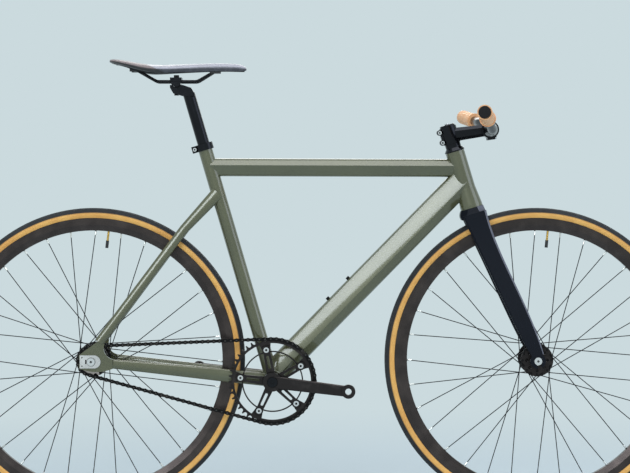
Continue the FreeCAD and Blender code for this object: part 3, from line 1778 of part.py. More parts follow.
def seat_collar_bolt():
    low, high = collar_bolt_line()
    shank = cylinder(collar_bolt_radius, low, high)
    top = low - V(0, collar_bolt_head_length, 0)
    head = cylinder(collar_bolt_head_radius, top, low)
    socket = hexagon_prism(collar_bolt_hex, top, top + V(0, collar_bolt_head_length / 2, 0))
    return placed(shank.fuse(head).cut(socket), seat_place)


def cross_bar(radius, half_width):
    """Round bar across the bicycle through the clamp's tilt axis."""
    return cylinder(radius, clamp_centre - V(0, half_width, 0), clamp_centre + V(0, half_width, 0))


def seatpost():
    """Tube, and a head that reaches back under the saddle clamp's round cradle."""
    tube = cylinder(seatpost_radius, on_seat_tube(seatpost_bottom), on_seat_tube(seatpost_top))
    front = saddle_setback + seatpost_radius
    rear = cradle_radius + post_head_margin
    top = -cradle_radius * post_head_top_share
    foot = -rail_rise - post_head_foot
    head = side_prism([
        (-rear, top),
        (rear + past, top),
        (front - post_head_front_cut, -rail_rise / 2),
        (front, -rail_rise),
        (front, foot),
        (saddle_setback - seatpost_radius, foot),
        (-cradle_radius * post_head_waist_share, -post_head_depth),
        (-rear, -cradle_radius * post_head_back_share),
    ], -post_head_half_width, post_head_half_width, clamp_centre)
    bore_top = on_seat_tube(seatpost_top - seatpost_solid_top)
    bore = cylinder(seatpost_radius - seatpost_wall, on_seat_tube(seatpost_bottom - past), bore_top)
    reach = clamp_bolt_seat + clamp_bolt_head_height
    swing = reach * math.sin(math.radians(clamp_tilt))
    half_slot = clamp_bolt_radius + swing + body_gap
    slot = box(
        clamp_centre + V(-half_slot, -clamp_bolt_radius - body_gap, -2 * post_head_depth),
        clamp_centre + V(half_slot, clamp_bolt_radius + body_gap, 0),
    )
    half_pocket = clamp_bolt_head_radius + swing + body_gap
    pocket = box(
        clamp_centre + V(-half_pocket, -clamp_bolt_head_radius - body_gap, -2 * post_head_depth),
        clamp_centre + V(half_pocket, clamp_bolt_head_radius + body_gap, -post_head_depth / 2),
    )
    pocket = pocket.cut(cross_bar(clamp_bolt_seat - cradle_gap, post_head_half_width))
    cradle = cross_bar(cradle_radius, post_head_half_width + past)
    return largest(tube.fuse(head).cut([bore, slot, pocket, cradle]))


def rail_end(side, forward):
    """Where a rail ends in the saddle's base, in front of the clamp or behind it."""
    if forward > 0:
        return clamp_centre + V(rail_front_end, side * rail_front_spread, rail_front_rise)
    return clamp_centre + V(-rail_rear_end, side * rail_rear_spread, rail_rear_rise)


def rail_path(side):
    points = [
        rail_end(side, -1),
        clamp_centre + V(-rail_flat_rear, side * rail_half_spacing, 0),
        clamp_centre + V(rail_flat_front, side * rail_half_spacing, 0),
        rail_end(side, 1),
    ]
    return rounded_path(points, rail_bend_radius)


def saddle_rails():
    return Part.makeCompound([rod(rail_path(side), rail_radius) for side in (-1, 1)])


def rail_grooves():
    reach = V(2 * clamp_half_length, 0, 0)
    return [
        cylinder(
            rail_radius + fixed_gap,
            clamp_centre + V(0, side * rail_half_spacing, 0) - reach,
            clamp_centre + V(0, side * rail_half_spacing, 0) + reach,
        )
        for side in (-1, 1)
    ]


def clamp_bolt_hole():
    far = V(0, 0, 2 * post_head_depth)
    return cylinder(clamp_bolt_radius + fixed_gap, clamp_centre - far, clamp_centre + far)


def saddle_clamp_cradle():
    """Lower half of the clamp, a half round that rocks in the post's head."""
    body = cross_bar(cradle_radius - cradle_gap, clamp_half_width)
    keep = box(
        clamp_centre + V(-clamp_half_length, -clamp_half_width, -cradle_radius),
        clamp_centre + V(clamp_half_length, clamp_half_width, -clamp_split / 2),
    )
    return body.common(keep).cut(rail_grooves() + [clamp_bolt_hole()])


def saddle_clamp_cap():
    """Upper half of the clamp, over the rails."""
    body = box(
        clamp_centre + V(-clamp_half_length, -clamp_half_width, clamp_split / 2),
        clamp_centre + V(clamp_half_length, clamp_half_width, clamp_cap_height),
    )
    return body.cut(rail_grooves() + [clamp_bolt_hole()])


def saddle_clamp_bolt():
    """Bolt up through the post's head, with its nut on the clamp's cap."""
    seat = clamp_centre - V(0, 0, clamp_bolt_seat)
    nut_low = clamp_centre + V(0, 0, clamp_cap_height)
    nut_high = nut_low + V(0, 0, clamp_nut_height)
    shank = cylinder(clamp_bolt_radius, seat, nut_high)
    head = cylinder(clamp_bolt_head_radius, seat - V(0, 0, clamp_bolt_head_height), seat)
    return shank.fuse([head, cylinder(clamp_nut_radius, nut_low, nut_high)])


# Saddle

def saddle_stations():
    """Place along the saddle, half width, top and skirt height of each section, from the clamp's centre."""
    low = saddle_wing_bottom
    nose_low = saddle_nose_bottom
    return [
        (-saddle_rear, saddle_wing_half * 0.55, saddle_rear_top - 1.5, saddle_rear_top - 9.5),
        (-saddle_rear * 0.93, saddle_wing_half * 0.86, saddle_rear_top, saddle_rear_top - 11.5),
        (-saddle_rear * 0.74, saddle_wing_half, saddle_rear_top - 4, low + 14),
        (-saddle_rear * 0.42, saddle_wing_half * 0.84, saddle_dip_top, low),
        (-saddle_rear * 0.12, saddle_wing_half * 0.58, saddle_dip_top + 0.5, low),
        (saddle_nose * 0.2, saddle_waist_half, saddle_nose_top - 2, nose_low - 2),
        (saddle_nose * 0.55, saddle_nose_half * 1.15, saddle_nose_top, nose_low),
        (saddle_nose * 0.86, saddle_nose_half, saddle_nose_top - 1, nose_low),
        (saddle_nose * 0.97, saddle_nose_half * 0.7, saddle_nose_top - 6, nose_low + 1),
        (saddle_nose, saddle_nose_half * 0.42, saddle_nose_top - 11, nose_low + 3),
    ]


def saddle_recess_at(top, bottom):
    return min(saddle_recess, saddle_recess_share * (top - bottom))


def cover_section(x, half, top, bottom):
    """Crowned top, drawn-in sides and a hollow underside."""
    rise = top - bottom
    skirt = half * saddle_skirt_share
    belly = bottom + saddle_belly_share * rise
    shoulder = bottom + saddle_shoulder_share * rise
    shoulder_half = half * saddle_shoulder_width
    steps = [
        (-skirt, bottom),
        ((-half, belly), (-shoulder_half, shoulder)),
        ((0, top), (shoulder_half, shoulder)),
        ((half, belly), (skirt, bottom)),
        ((0, bottom + saddle_recess_at(top, bottom)), (-skirt, bottom)),
    ]
    return outline(steps, lambda y, z: clamp_centre + V(x, y, z))


def base_section(x, half, top, bottom):
    """Thin shell under the cover's hollow."""
    recess = saddle_recess_at(top, bottom)
    skirt = half * saddle_skirt_share * saddle_base_share
    crest = bottom + recess - saddle_base_gap
    edge = crest - recess * saddle_base_share ** 2
    steps = [
        (-skirt, edge),
        ((0, crest), (skirt, edge)),
        (skirt, edge - saddle_base_thickness),
        ((0, crest - saddle_base_thickness), (-skirt, edge - saddle_base_thickness)),
    ]
    return outline(steps, lambda y, z: clamp_centre + V(x, y, z))


def saddle_cover():
    return loft([cover_section(*station) for station in saddle_stations()])


def saddle_base():
    """Moulded shell with a socket at each rail end."""
    shell = loft([base_section(*station) for station in saddle_stations()[1:-1]])
    sockets = []
    for side in (-1, 1):
        for forward in (-1, 1):
            end = rail_end(side, forward)
            low = end - V(saddle_socket_half_length, saddle_socket_half_width, saddle_socket_depth)
            high = end + V(saddle_socket_half_length, saddle_socket_half_width, 2 * saddle_recess)
            sockets.append(box(low, high))
    rails = [rod(rail_path(side), rail_radius) for side in (-1, 1)]
    body = shell.fuse(sockets)
    return largest(body.cut([saddle_cover()] + rails))


# Every node

def pair(shape):
    """A left piece and its mirror image, as one group of two solids."""
    return Part.makeCompound([shape, mirrored(shape)])


def wheel_nodes(name, centre, flange_y, valve_angle):
    holes = nipple_holes(centre, flange_y, valve_angle)
    return {
        name + "_rim": rim(centre, valve_angle, holes),
        name + "_tyre": tyre(centre),
        name + "_inner_tube": inner_tube(centre, valve_angle),
        name + "_spokes": spokes(centre, flange_y, valve_angle),
        name + "_nipples": nipples(centre, flange_y, valve_angle),
    }


def front_hub_nodes():
    tip_outer = front_spacing / 2 + fork_tip_thickness
    ends = (front_hub_end, front_hub_end)
    return {
        "front_hub_shell": hub_shell(front_axle, front_flange_y, *ends, hub_body_radius, front_valve_angle),
        "front_hub_bearings": hub_bearings(front_axle, front_axle_radius, *ends),
        "front_axle": axle(front_axle, front_axle_radius, tip_outer, front_spacing, *ends),
        "front_axle_bolts": axle_bolts(front_axle, tip_outer, axle_bolt_height),
    }


def rear_hub_nodes():
    plate_outer = dropout_outer_y + axle_plate_thickness
    ends = (rear_hub_right, rear_hub_left)
    return {
        "rear_hub_shell": hub_shell(rear_axle, rear_flange_y, *ends, cog_thread_radius, rear_valve_angle),
        "rear_hub_bearings": hub_bearings(rear_axle, rear_axle_radius, *ends),
        "rear_axle": axle(rear_axle, rear_axle_radius, plate_outer, rear_spacing, *ends),
        "rear_axle_bolts": axle_bolts(rear_axle, plate_outer, rear_bolt_height),
    }


nodes = {
    "head_tube": head_tube(),
    "top_tube": top_tube(),
    "down_tube": down_tube(),
    "seat_tube": seat_tube(),
    "bottom_bracket_shell": bottom_bracket_shell(),
    "chain_stays": pair(chain_stay()),
    "seat_stays": pair(seat_stay()),
    "rear_dropouts": pair(dropout()),
    "axle_plates": pair(axle_plate()),
    "bottle_screws": bottle_screws(),
    "headset_bearings": headset_bearings(),
    "crown_race": crown_race(),
    "headset_cover": Part.makeCompound([headset_cover(), headset_spacer()]),
    "star_nut": star_nut(),
    "top_cap": top_cap(),
    "top_cap_bolt": top_cap_bolt(),
    "fork": fork(),
    "stem": stem(),
    "stem_faceplate": stem_faceplate(),
    "stem_bolts": Part.makeCompound(stem_pinch_bolts() + stem_faceplate_bolts()),
    "handlebar": handlebar(),
    "grips": pair(grip()),
    "bar_plugs": pair(bar_plug()),
    **wheel_nodes("front", front_axle, front_flange_y, front_valve_angle),
    **wheel_nodes("rear", rear_axle, rear_flange_y, rear_valve_angle),
    **front_hub_nodes(),
    **rear_hub_nodes(),
    "cog": cog(),
    "lockring": lockring(),
    "bottom_bracket_spindle": bottom_bracket_spindle(),
    "bottom_bracket_cups": Part.makeCompound(bottom_bracket_cups() + bottom_bracket_bearings()),
    "right_crank": right_crank(),
    "left_crank": left_crank(),
    "chainring": chainring(),
    "chainring_bolts": chainring_bolts(),
    "crank_bolts": crank_bolts(),
    "chain_outer_links": chain_run(outer_link(), 0),
    "chain_inner_links": chain_run(inner_link(), 1),
    "seat_collar": seat_collar(),
    "seat_collar_bolt": seat_collar_bolt(),
    "seatpost": seatpost(),
    "saddle_clamp": Part.makeCompound([saddle_clamp_cradle(), saddle_clamp_cap()]),
    "saddle_clamp_bolt": saddle_clamp_bolt(),
    "saddle_rails": saddle_rails(),
    "saddle_base": saddle_base(),
    "saddle_cover": saddle_cover(),
}

os.makedirs("parts", exist_ok=True)
for node_name, node_shape in nodes.items():
    node_shape.exportStep("parts/" + node_name + ".step")
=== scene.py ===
import json

import bmesh
import bpy
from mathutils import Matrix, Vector


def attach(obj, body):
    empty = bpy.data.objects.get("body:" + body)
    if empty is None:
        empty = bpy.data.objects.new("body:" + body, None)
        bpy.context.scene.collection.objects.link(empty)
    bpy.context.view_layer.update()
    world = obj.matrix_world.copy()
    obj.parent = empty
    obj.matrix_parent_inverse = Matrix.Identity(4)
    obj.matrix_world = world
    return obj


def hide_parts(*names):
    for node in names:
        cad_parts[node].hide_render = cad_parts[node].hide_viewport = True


# Looks of the fixed gear bicycle, in metres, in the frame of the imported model.
# +X is forward, +Y is the rider's left, +Z is up, and the chain is on the -Y side.

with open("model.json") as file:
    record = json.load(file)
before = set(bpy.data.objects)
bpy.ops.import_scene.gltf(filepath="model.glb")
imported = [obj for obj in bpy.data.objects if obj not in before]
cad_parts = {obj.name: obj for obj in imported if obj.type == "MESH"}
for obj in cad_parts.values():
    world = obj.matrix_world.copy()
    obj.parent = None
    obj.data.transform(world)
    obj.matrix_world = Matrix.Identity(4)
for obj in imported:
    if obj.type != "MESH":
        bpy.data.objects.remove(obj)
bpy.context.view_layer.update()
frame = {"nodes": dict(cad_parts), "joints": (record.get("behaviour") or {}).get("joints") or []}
nodes = frame["nodes"]
scene = bpy.context.scene

# Places on the object, where its joints turn
turning_points = {joint["name"]: Vector(joint["pos_m"]) for joint in frame["joints"] if "pos_m" in joint}
rear_axle = turning_points["rear_wheel_spin"]
front_axle = turning_points["front_wheel_spin"]
saddle_clamp = turning_points["saddle_tilt"]

# Camera
camera_place = Vector((-0.033, -4.9, 0.796))
camera_target = Vector((0.0005, 0, 0.6157))
image_width = 630
focal_pixels = 2184
sensor_width = 36.0
clip_distance = 200

# Colours, as screen values from 0 to 255
wall_tone = (203, 218, 222)
ambient_tone = (236, 242, 248)
olive = (90, 90, 60)
olive_shade = (78, 79, 51)
olive_flake = (144, 145, 110)
carbon_dark = (13, 16, 23)
carbon_light = (19, 23, 33)
# Painted highlight tone for the fork's front bevels
bevel_painted_highlight = (112, 114, 124)
# Saddle: cover and wing tones, each with a lighter painted highlight tone for places that face upward
cover_tone = (52, 52, 60)
cover_painted_highlight = (170, 169, 177)
wing_tone = (30, 27, 27)
wing_painted_highlight = (124, 110, 108)
sheen_tone = (224, 221, 231)
tread_dark = (14, 15, 18)
tread_light = (34, 35, 38)
sidewall_tan = (248, 188, 98)
sidewall_amber = (230, 164, 80)
sidewall_thread = (246, 200, 130)
sidewall_glue = (84, 64, 44)
rim_tone = (68, 61, 59)
rim_dust = (94, 84, 80)
tube_dark = (22, 22, 23)
tube_scuffed = (40, 40, 41)
brass_bright = (214, 176, 92)
brass_dull = (176, 138, 66)
grip_tan = (255, 196, 142)
grip_grime = (248, 178, 122)
# Painted shade in the grooves of the grips' rings
grip_groove_shade = (218, 144, 94)
pin_tone = (74, 71, 69)
# Painted shade for recesses in metal parts
recess_shade_tone = (9, 8, 8)

# Light and floor
ambient_strength = 0.5
floor_radius = 60.0
floor_sides = 96
floor_fade = (0.9, 2.0)

# The range that holds most values of a noise
noise_middle = (0.3, 0.7)

# Noises and cells, as repeats per metre
cloud_scale = 7.0
flake_scale = 2400.0
orange_peel_scale = 420.0
patch_scale = 38.0
haze_scale = 9.0
stain_scale = 26.0
tread_scale = 60.0
turned_line_scale = 9000.0
dust_scale = 30.0
scuff_scale = 220.0
grime_scale = 45.0
skin_scale = 900.0
spark_scale = 1400.0
mould_scale = 30.0
pebble_scale = 900.0
crease_scale = 60.0

# Regular patterns: pitches and slants as radians per metre, counts as repeats per turn of a wheel
twill_pitch = 2600.0
thread_count = 1800
thread_slant = 7000.0
file_pitch = 5200.0
file_count = 900
ring_pitch = 2200.0
valve_thread_pitch = 6000.0
stitch_pitch = 1500.0

# Depths of the fine relief
orange_peel_depth = 0.00003
metal_grain_depth = 0.00001
twill_depth = 0.00001
cloth_depth = 0.00006
file_to_cloth = 3.0
turned_line_depth = 0.000008
valve_thread_depth = 0.00003
ring_depth = 0.0002
skin_to_ring = 0.4
spark_depth = 0.00002
leather_depth = 0.00012
crease_to_grain = 0.5
seam_to_grain = 4.0

# Roughness at the two ends of each change
paint_gloss = (0.3, 0.36)
lacquer_gloss = (0.34, 0.44)
tyre_gloss = (0.55, 0.7)
rim_gloss = (0.24, 0.36)
grip_gloss = (0.45, 0.62)
suede_to_leather_gloss = (0.62, 0.4)
rubber_to_brass_gloss = (0.5, 0.25)

# Where colours change on the wheels, as distances from the axle and widths of the change
tread_edge_radius = 0.3298
tread_edge_blur = 0.0004
glue_start = tread_edge_radius - 0.0024
glue_end = tread_edge_radius - 0.0006
rim_inner_radius = 0.2895
rim_inner_blur = 0.002
valve_cap_top = 0.2688
valve_cap_blur = 0.0004

# Down tube: the middle of its broad flank, the way up it, and how strongly it is crowned
flank_middle = Vector((0.1149, 0, 0.5313))
flank_up = Vector((-0.715, 0, 0.699))
flank_half_height = 0.017
flank_crown = 4.0

# Fork: forward facing at which the painted highlight on the front bevels begins and ends
bevel_start = (0.3, 0.55)
bevel_end = (0.85, 0.95)

# Chain: its middle plane, and the distances from it between which the plates' tone becomes the pins'
chain_plane = -0.042
plate_reach = 0.00402
pin_reach = 0.00416

# Metal: how far and with how many rays a recess is looked for, and the open share over which the painted
# shade in recesses ends
recess_reach = 0.004
recess_samples = 6
recess_open = (0.5, 0.85)

# Saddle, from the clamp's centre: along the seam, place plus slope times height is seam_place
seam_slope = 2.2
seam_place = 0.018
seam_half_width = 0.0016
stitch_shade = 0.5
# Upward facing over which the saddle's painted highlight grows
highlight_facing = (-0.1, 0.55)
channel_depth = 0.0035
channel_full_half_width = 0.06
underside_recess = 0.0088
underside_share = 0.45
rounding_levels = 3


def linear(screen_colour):
    """The linear colour, with alpha, of screen values from 0 to 255."""
    channels = []
    for value in screen_colour:
        share = value / 255
        if share <= 0.04045:
            channels.append(share / 12.92)
        else:
            channels.append(((share + 0.055) / 1.055) ** 2.4)
    return (*channels, 1.0)


# Node trees


class Nodes:
    """A node tree and a short way to add nodes to it."""

    def __init__(self, tree):
        self.tree = tree

    def put(self, socket, value):
        if isinstance(value, bpy.types.NodeSocket):
            self.tree.links.new(value, socket)
        else:
            socket.default_value = value

    def add(self, kind, inputs=None, **settings):
        node = self.tree.nodes.new(kind)
        for key, value in settings.items():
            setattr(node, key, value)
        for key, value in (inputs or {}).items():
            self.put(node.inputs[key], value)
        return node

    def math(self, operation, *values):
        """The result of one arithmetic step."""
        return self.add("ShaderNodeMath", dict(enumerate(values)), operation=operation).outputs[0]

    def plus(self, first, second):
        return self.math("ADD", first, second)

    def minus(self, first, second):
        return self.math("SUBTRACT", first, second)

    def times(self, first, second):
        return self.math("MULTIPLY", first, second)

    def sine(self, value):
        return self.math("SINE", value)

    def without_sign(self, value):
        return self.math("ABSOLUTE", value)

    def shows_background(self):
        """1 for rays that show the background: seen, mirrored or through glass."""
        path = self.add("ShaderNodeLightPath").outputs
        seen = self.math("MAXIMUM", path["Is Camera Ray"], path["Is Glossy Ray"])
        return self.math("MAXIMUM", seen, path["Is Transmission Ray"])


class Surface(Nodes):
    """A material with its shader, and the patterns that materials share."""

    def __init__(self, name):
        self.material = bpy.data.materials.new(name)
        self.material.use_nodes = True
        super().__init__(self.material.node_tree)
        self.shader = self.tree.nodes["Principled BSDF"]
        self.output = self.tree.nodes["Material Output"]
        coordinates = self.add("ShaderNodeTexCoord").outputs
        self.place = coordinates["Object"]
        self.facing = coordinates["Normal"]

    def set(self, **values):
        """Values of the shader's own sockets, with _ for each space of a socket's name."""
        for key, value in values.items():
            self.put(self.shader.inputs[key.replace("_", " ")], value)

    def parts(self, vector):
        """The X, Y and Z of a vector."""
        return self.add("ShaderNodeSeparateXYZ", {0: vector}).outputs

    def length(self, vector):
        return self.add("ShaderNodeVectorMath", {0: vector}, operation="LENGTH").outputs["Value"]

    def away_from(self, point):
        """The place as seen from a point."""
        return self.add("ShaderNodeVectorMath", {0: self.place, 1: point}, operation="SUBTRACT").outputs[0]

    def wheel_radius(self, axle):
        """Distance from a wheel's axle."""
        away = self.parts(self.away_from(axle))
        flat = self.add("ShaderNodeCombineXYZ", {"X": away["X"], "Z": away["Z"]})
        return self.length(flat.outputs[0])

    def wheel_angle(self, axle):
        """Angle round a wheel's axle, in radians."""
        away = self.parts(self.away_from(axle))
        return self.math("ARCTAN2", away["Z"], away["X"])

    def sideways(self):
        """Distance to the left of the middle plane."""
        return self.parts(self.place)["Y"]

    def noise(self, scale, detail=3.0, vector=None):
        inputs = {"Vector": vector or self.place, "Scale": scale, "Detail": detail}
        return self.add("ShaderNodeTexNoise", inputs).outputs["Fac"]

    def cells(self, scale):
        return self.add("ShaderNodeTexVoronoi", {"Vector": self.place, "Scale": scale}).outputs

    def blend(self, share, first, second):
        """A colour between two, by a share from 0 to 1."""
        node = self.add("ShaderNodeMix", data_type="RGBA")
        self.put(node.inputs["Factor"], share)
        first_colour, second_colour = node.inputs[6], node.inputs[7]
        for socket, value in ((first_colour, first), (second_colour, second)):
            self.put(socket, linear(value) if isinstance(value, tuple) else value)
        return node.outputs[2]

    def spread(self, value, low, high, start=0.0, end=1.0):
        """A value from start to end as the input goes from low to high, held beyond them."""
        inputs = {"Value": value, "From Min": low, "From Max": high, "To Min": start, "To Max": end}
        return self.add("ShaderNodeMapRange", inputs).outputs["Result"]

    def bump(self, height, depth):
        """Gives the shader the relief's normal, and returns that normal."""
        inputs = {"Height": height, "Distance": depth, "Strength": 1.0}
        normal = self.add("ShaderNodeBump", inputs).outputs["Normal"]
        self.set(Normal=normal)
        return normal

    def on(self, *names):
        """Puts the material on CAD nodes."""
        for name in names:
            slots = nodes[name].data.materials
            slots.clear()
            slots.append(self.material)


# Camera, stage and light


def make_camera():
    data = bpy.data.cameras.new("photo_camera")
    data.sensor_width = sensor_width
    data.lens = focal_pixels * sensor_width / image_width
    data.clip_end = clip_distance
    camera = bpy.data.objects.new("photo_camera", data)
    camera.location = camera_place
    camera.rotation_mode = "QUATERNION"
    camera.rotation_quaternion = (camera_target - camera_place).to_track_quat("-Z", "Y")
    scene.collection.objects.link(camera)
    scene.camera = camera


def area_light(name, place, target, size, power, tone):
    data = bpy.data.lights.new(name, "AREA")
    data.shape = "RECTANGLE"
    data.size, data.size_y = size
    data.energy = power
    data.color = linear(tone)[:3]
    light = bpy.data.objects.new(name, data)
    light.location = place
    light.rotation_mode = "QUATERNION"
    light.rotation_quaternion = (Vector(target) - Vector(place)).to_track_quat("-Z", "Y")
    scene.collection.objects.link(light)


def make_world():
    """Pale backdrop where it is seen or mirrored, and an even soft light elsewhere."""
    world = bpy.data.worlds.new("studio")
    world.use_nodes = True
    scene.world = world
    sky = Nodes(world.node_tree)
    sky.tree.nodes.clear()
    backdrop = sky.add("ShaderNodeBackground", {"Color": linear(wall_tone), "Strength": 1.0})
    ambient = sky.add("ShaderNodeBackground", {"Color": linear(ambient_tone), "Strength": ambient_strength})
    shown = sky.shows_background()
    mixed = sky.add("ShaderNodeMixShader", {0: shown, 1: ambient.outputs[0], 2: backdrop.outputs[0]})
    sky.add("ShaderNodeOutputWorld", {"Surface": mixed.outputs[0]})


def floor_surface():
    """Pale matt floor that fades into the backdrop far from the bicycle."""
    surface = Surface("floor")
    surface.set(Base_Color=linear(wall_tone), Roughness=0.9, Specular_IOR_Level=0.0)
    fade = surface.spread(surface.length(surface.place), *floor_fade)
    glow = surface.add("ShaderNodeEmission", {"Color": linear(wall_tone), "Strength": 1.0})
    shown = surface.times(fade, surface.shows_background())
    lit = surface.shader.outputs[0]
    mixed = surface.add("ShaderNodeMixShader", {0: shown, 1: lit, 2: glow.outputs[0]})
    surface.put(surface.output.inputs["Surface"], mixed.outputs[0])
    return surface.material


def make_floor():
    """Round floor that takes shadows."""
    mesh = bmesh.new()
    bmesh.ops.create_circle(mesh, cap_ends=True, segments=floor_sides, radius=floor_radius)
    data = bpy.data.meshes.new("floor")
    mesh.to_mesh(data)
    mesh.free()
    floor = bpy.data.objects.new("floor", data)
    scene.collection.objects.link(floor)
    data.materials.append(floor_surface())


scene.view_settings.view_transform = "Standard"
make_camera()
make_world()
make_floor()
area_light(
    "key", place=(-1.5, -4.2, 2.5), target=(0.1, 0, 0.55), size=(2.4, 1.6), power=76, tone=(238, 246, 255)
)
area_light(
    "top", place=(0.1, -0.6, 3.4), target=(0, -0.1, 0.5), size=(3.4, 1.6), power=44, tone=(246, 248, 255)
)
area_light(
    "side", place=(4.2, -1.7, 1.7), target=(0.4, 0, 0.5), size=(2.8, 2.6), power=38, tone=(222, 230, 255)
)
area_light(
    "back", place=(0.6, 3.6, 2.4), target=(0, 0, 0.5), size=(2.6, 2.0), power=42, tone=(255, 250, 244)
)


# Materials


def flank_height(paint):
    """Height of the down tube's flank, which is slightly round across."""
    away = paint.away_from(flank_middle)
    up = paint.add("ShaderNodeVectorMath", {0: away, 1: flank_up}, operation="DOT_PRODUCT").outputs["Value"]
    half = flank_half_height
    across = paint.spread(up, -half, half, -half, half)
    return paint.times(paint.times(across, across), -flank_crown)


def frame_paint(name, crowned=False):
    """Olive metallic paint under a clear coat."""
    paint = Surface(name)
    sparkle = paint.add("ShaderNodeSeparateColor", {0: paint.cells(flake_scale)["Color"]}).outputs[0]
    clouds = paint.noise(cloud_scale, detail=2.0)
    tone = paint.blend(paint.spread(clouds, *noise_middle), olive, olive_shade)
    tone = paint.blend(paint.spread(sparkle, low=0.55, high=1.0, end=0.3), tone, olive_flake)
    paint.set(Base_Color=tone, Metallic=0.28, Roughness=paint.spread(sparkle, 0, 1, *paint_gloss))
    paint.set(Coat_Weight=1.0, Coat_Roughness=0.08, Coat_IOR=1.55)
    height = paint.times(paint.noise(orange_peel_scale, detail=1.0), orange_peel_depth)
    if crowned:
        height = paint.plus(height, flank_height(paint))
    paint.set(Coat_Normal=paint.bump(height, depth=1.0))
    return paint


def metal(name, tone, worn_tone, roughness, shine=1.0, grain_scale=900.0, coat=0.0):
    """Bare, plated or anodised metal: fine grain, uneven gloss, rubbed places and painted shade in
    recesses.
    """
    surface = Surface(name)
    grain = surface.noise(grain_scale, detail=2.0)
    patches = surface.noise(patch_scale, detail=4.0)
    bare = surface.blend(surface.spread(patches, low=0.56, high=0.74, end=0.7), tone, worn_tone)
    # Painted shade: the base colour goes dark where ambient occlusion finds a recess, standing in for shade
    # there.
    recesses = surface.add("ShaderNodeAmbientOcclusion", {"Distance": recess_reach}, samples=recess_samples)
    unshaded = surface.spread(recesses.outputs["AO"], *recess_open)
    surface.set(Base_Color=surface.blend(unshaded, recess_shade_tone, bare), Metallic=shine)
    uneven = surface.spread(patches, *noise_middle, start=-0.05, end=0.05)
    brushed = surface.spread(grain, *noise_middle, start=-0.03, end=0.03)
    surface.set(Roughness=surface.plus(surface.plus(uneven, brushed), roughness))
    surface.set(Coat_Weight=coat, Coat_Roughness=0.08)
    surface.bump(grain, metal_grain_depth)
    return surface


def carbon():
    """Fork: satin lacquer over a fine twill that only just shows, with a painted highlight on the bevels in
    front.
    """
    fork = Surface("carbon")
    parts = fork.parts(fork.place)
    across = fork.sine(fork.times(fork.plus(parts["X"], parts["Z"]), twill_pitch))
    along = fork.sine(fork.times(fork.minus(parts["X"], parts["Z"]), twill_pitch))
    weave = fork.times(across, along)
    tone = fork.blend(fork.spread(weave, -1, 1), carbon_dark, carbon_light)
    # Painted highlight: bevels that face forward are blended to a lighter tone.
    forward = fork.parts(fork.facing)["X"]
    bevel_highlight = fork.minus(fork.spread(forward, *bevel_start), fork.spread(forward, *bevel_end))
    tone = fork.blend(bevel_highlight, tone, bevel_painted_highlight)
    haze = fork.noise(haze_scale, detail=2.0)
    fork.set(Base_Color=tone, Roughness=fork.spread(haze, *noise_middle, *lacquer_gloss))
    fork.set(Specular_IOR_Level=0.14, Coat_Weight=0.05, Coat_Roughness=0.2)
    fork.bump(weave, twill_depth)
    fork.on("fork")


def tyre(name, axle):
    """Black tread with a fine file pattern, and tan cotton sidewalls."""
    surface = Surface(name)
    radius = surface.wheel_radius(axle)
    angle = surface.wheel_angle(axle)
    tread = surface.spread(radius, tread_edge_radius - tread_edge_blur, tread_edge_radius + tread_edge_blur)
    turns = surface.times(angle, thread_count)
    slant = surface.times(radius, thread_slant)
    warp = surface.sine(surface.plus(turns, slant))
    weft = surface.sine(surface.minus(turns, slant))
    weave = surface.times(warp, weft)
    stain = surface.noise(stain_scale, detail=4.0)
    cotton = surface.blend(surface.spread(stain, low=0.35, high=0.7), sidewall_tan, sidewall_amber)
    cotton = surface.blend(surface.spread(weave, -1, 1, end=0.22), cotton, sidewall_thread)
    cotton = surface.blend(surface.spread(radius, glue_start, glue_end, end=0.55), cotton, sidewall_glue)
    rubber = surface.blend(surface.noise(tread_scale, detail=5.0), tread_dark, tread_light)
    surface.set(Base_Color=surface.blend(tread, cotton, rubber))
    surface.set(Roughness=surface.spread(stain, *noise_middle, *tyre_gloss))
    groove = surface.plus(surface.times(surface.sideways(), file_pitch), surface.times(angle, file_count))
    file_cut = surface.times(surface.sine(groove), tread)
    cloth = surface.times(weave, surface.minus(1.0, tread))
    surface.bump(surface.plus(surface.times(file_cut, file_to_cloth), cloth), cloth_depth)
    return surface


def rim(name, axle):
    """Anodised rim, turned round the axle so that fine lines follow its edge."""
    surface = Surface(name)
    outward = surface.times(surface.wheel_radius(axle), turned_line_scale)
    across = surface.times(surface.sideways(), turned_line_scale)
    profile = surface.add("ShaderNodeCombineXYZ", {"X": outward, "Y": across}).outputs[0]
    lines = surface.noise(1.0, detail=2.0, vector=profile)
    dust = surface.noise(dust_scale, detail=4.0)
    tone = surface.blend(surface.spread(dust, low=0.4, high=0.75, end=0.6), rim_tone, rim_dust)
    surface.set(Base_Color=tone, Metallic=0.95, Roughness=surface.spread(lines, *noise_middle, *rim_gloss))
    surface.bump(lines, turned_line_depth)
    return surface


def inner_tube(name, axle):
    """Rubber tube, brass valve stem inside the rim's circle and a black cap on its end."""
    surface = Surface(name)
    radius = surface.wheel_radius(axle)
    stem = surface.spread(radius, rim_inner_radius, rim_inner_radius + rim_inner_blur, start=1.0, end=0.0)
    cap = surface.spread(radius, valve_cap_top - valve_cap_blur, valve_cap_top, start=1.0, end=0.0)
    bare = surface.minus(stem, cap)
    scuff = surface.noise(scuff_scale)
    dark = surface.blend(scuff, tube_dark, tube_scuffed)
    brass = surface.blend(scuff, brass_bright, brass_dull)
    surface.set(Base_Color=surface.blend(bare, dark, brass), Metallic=bare)
    surface.set(Roughness=surface.spread(bare, 0, 1, *rubber_to_brass_gloss))
    thread = surface.sine(surface.times(radius, valve_thread_pitch))
    surface.bump(surface.times(thread, bare), valve_thread_depth)
    return surface


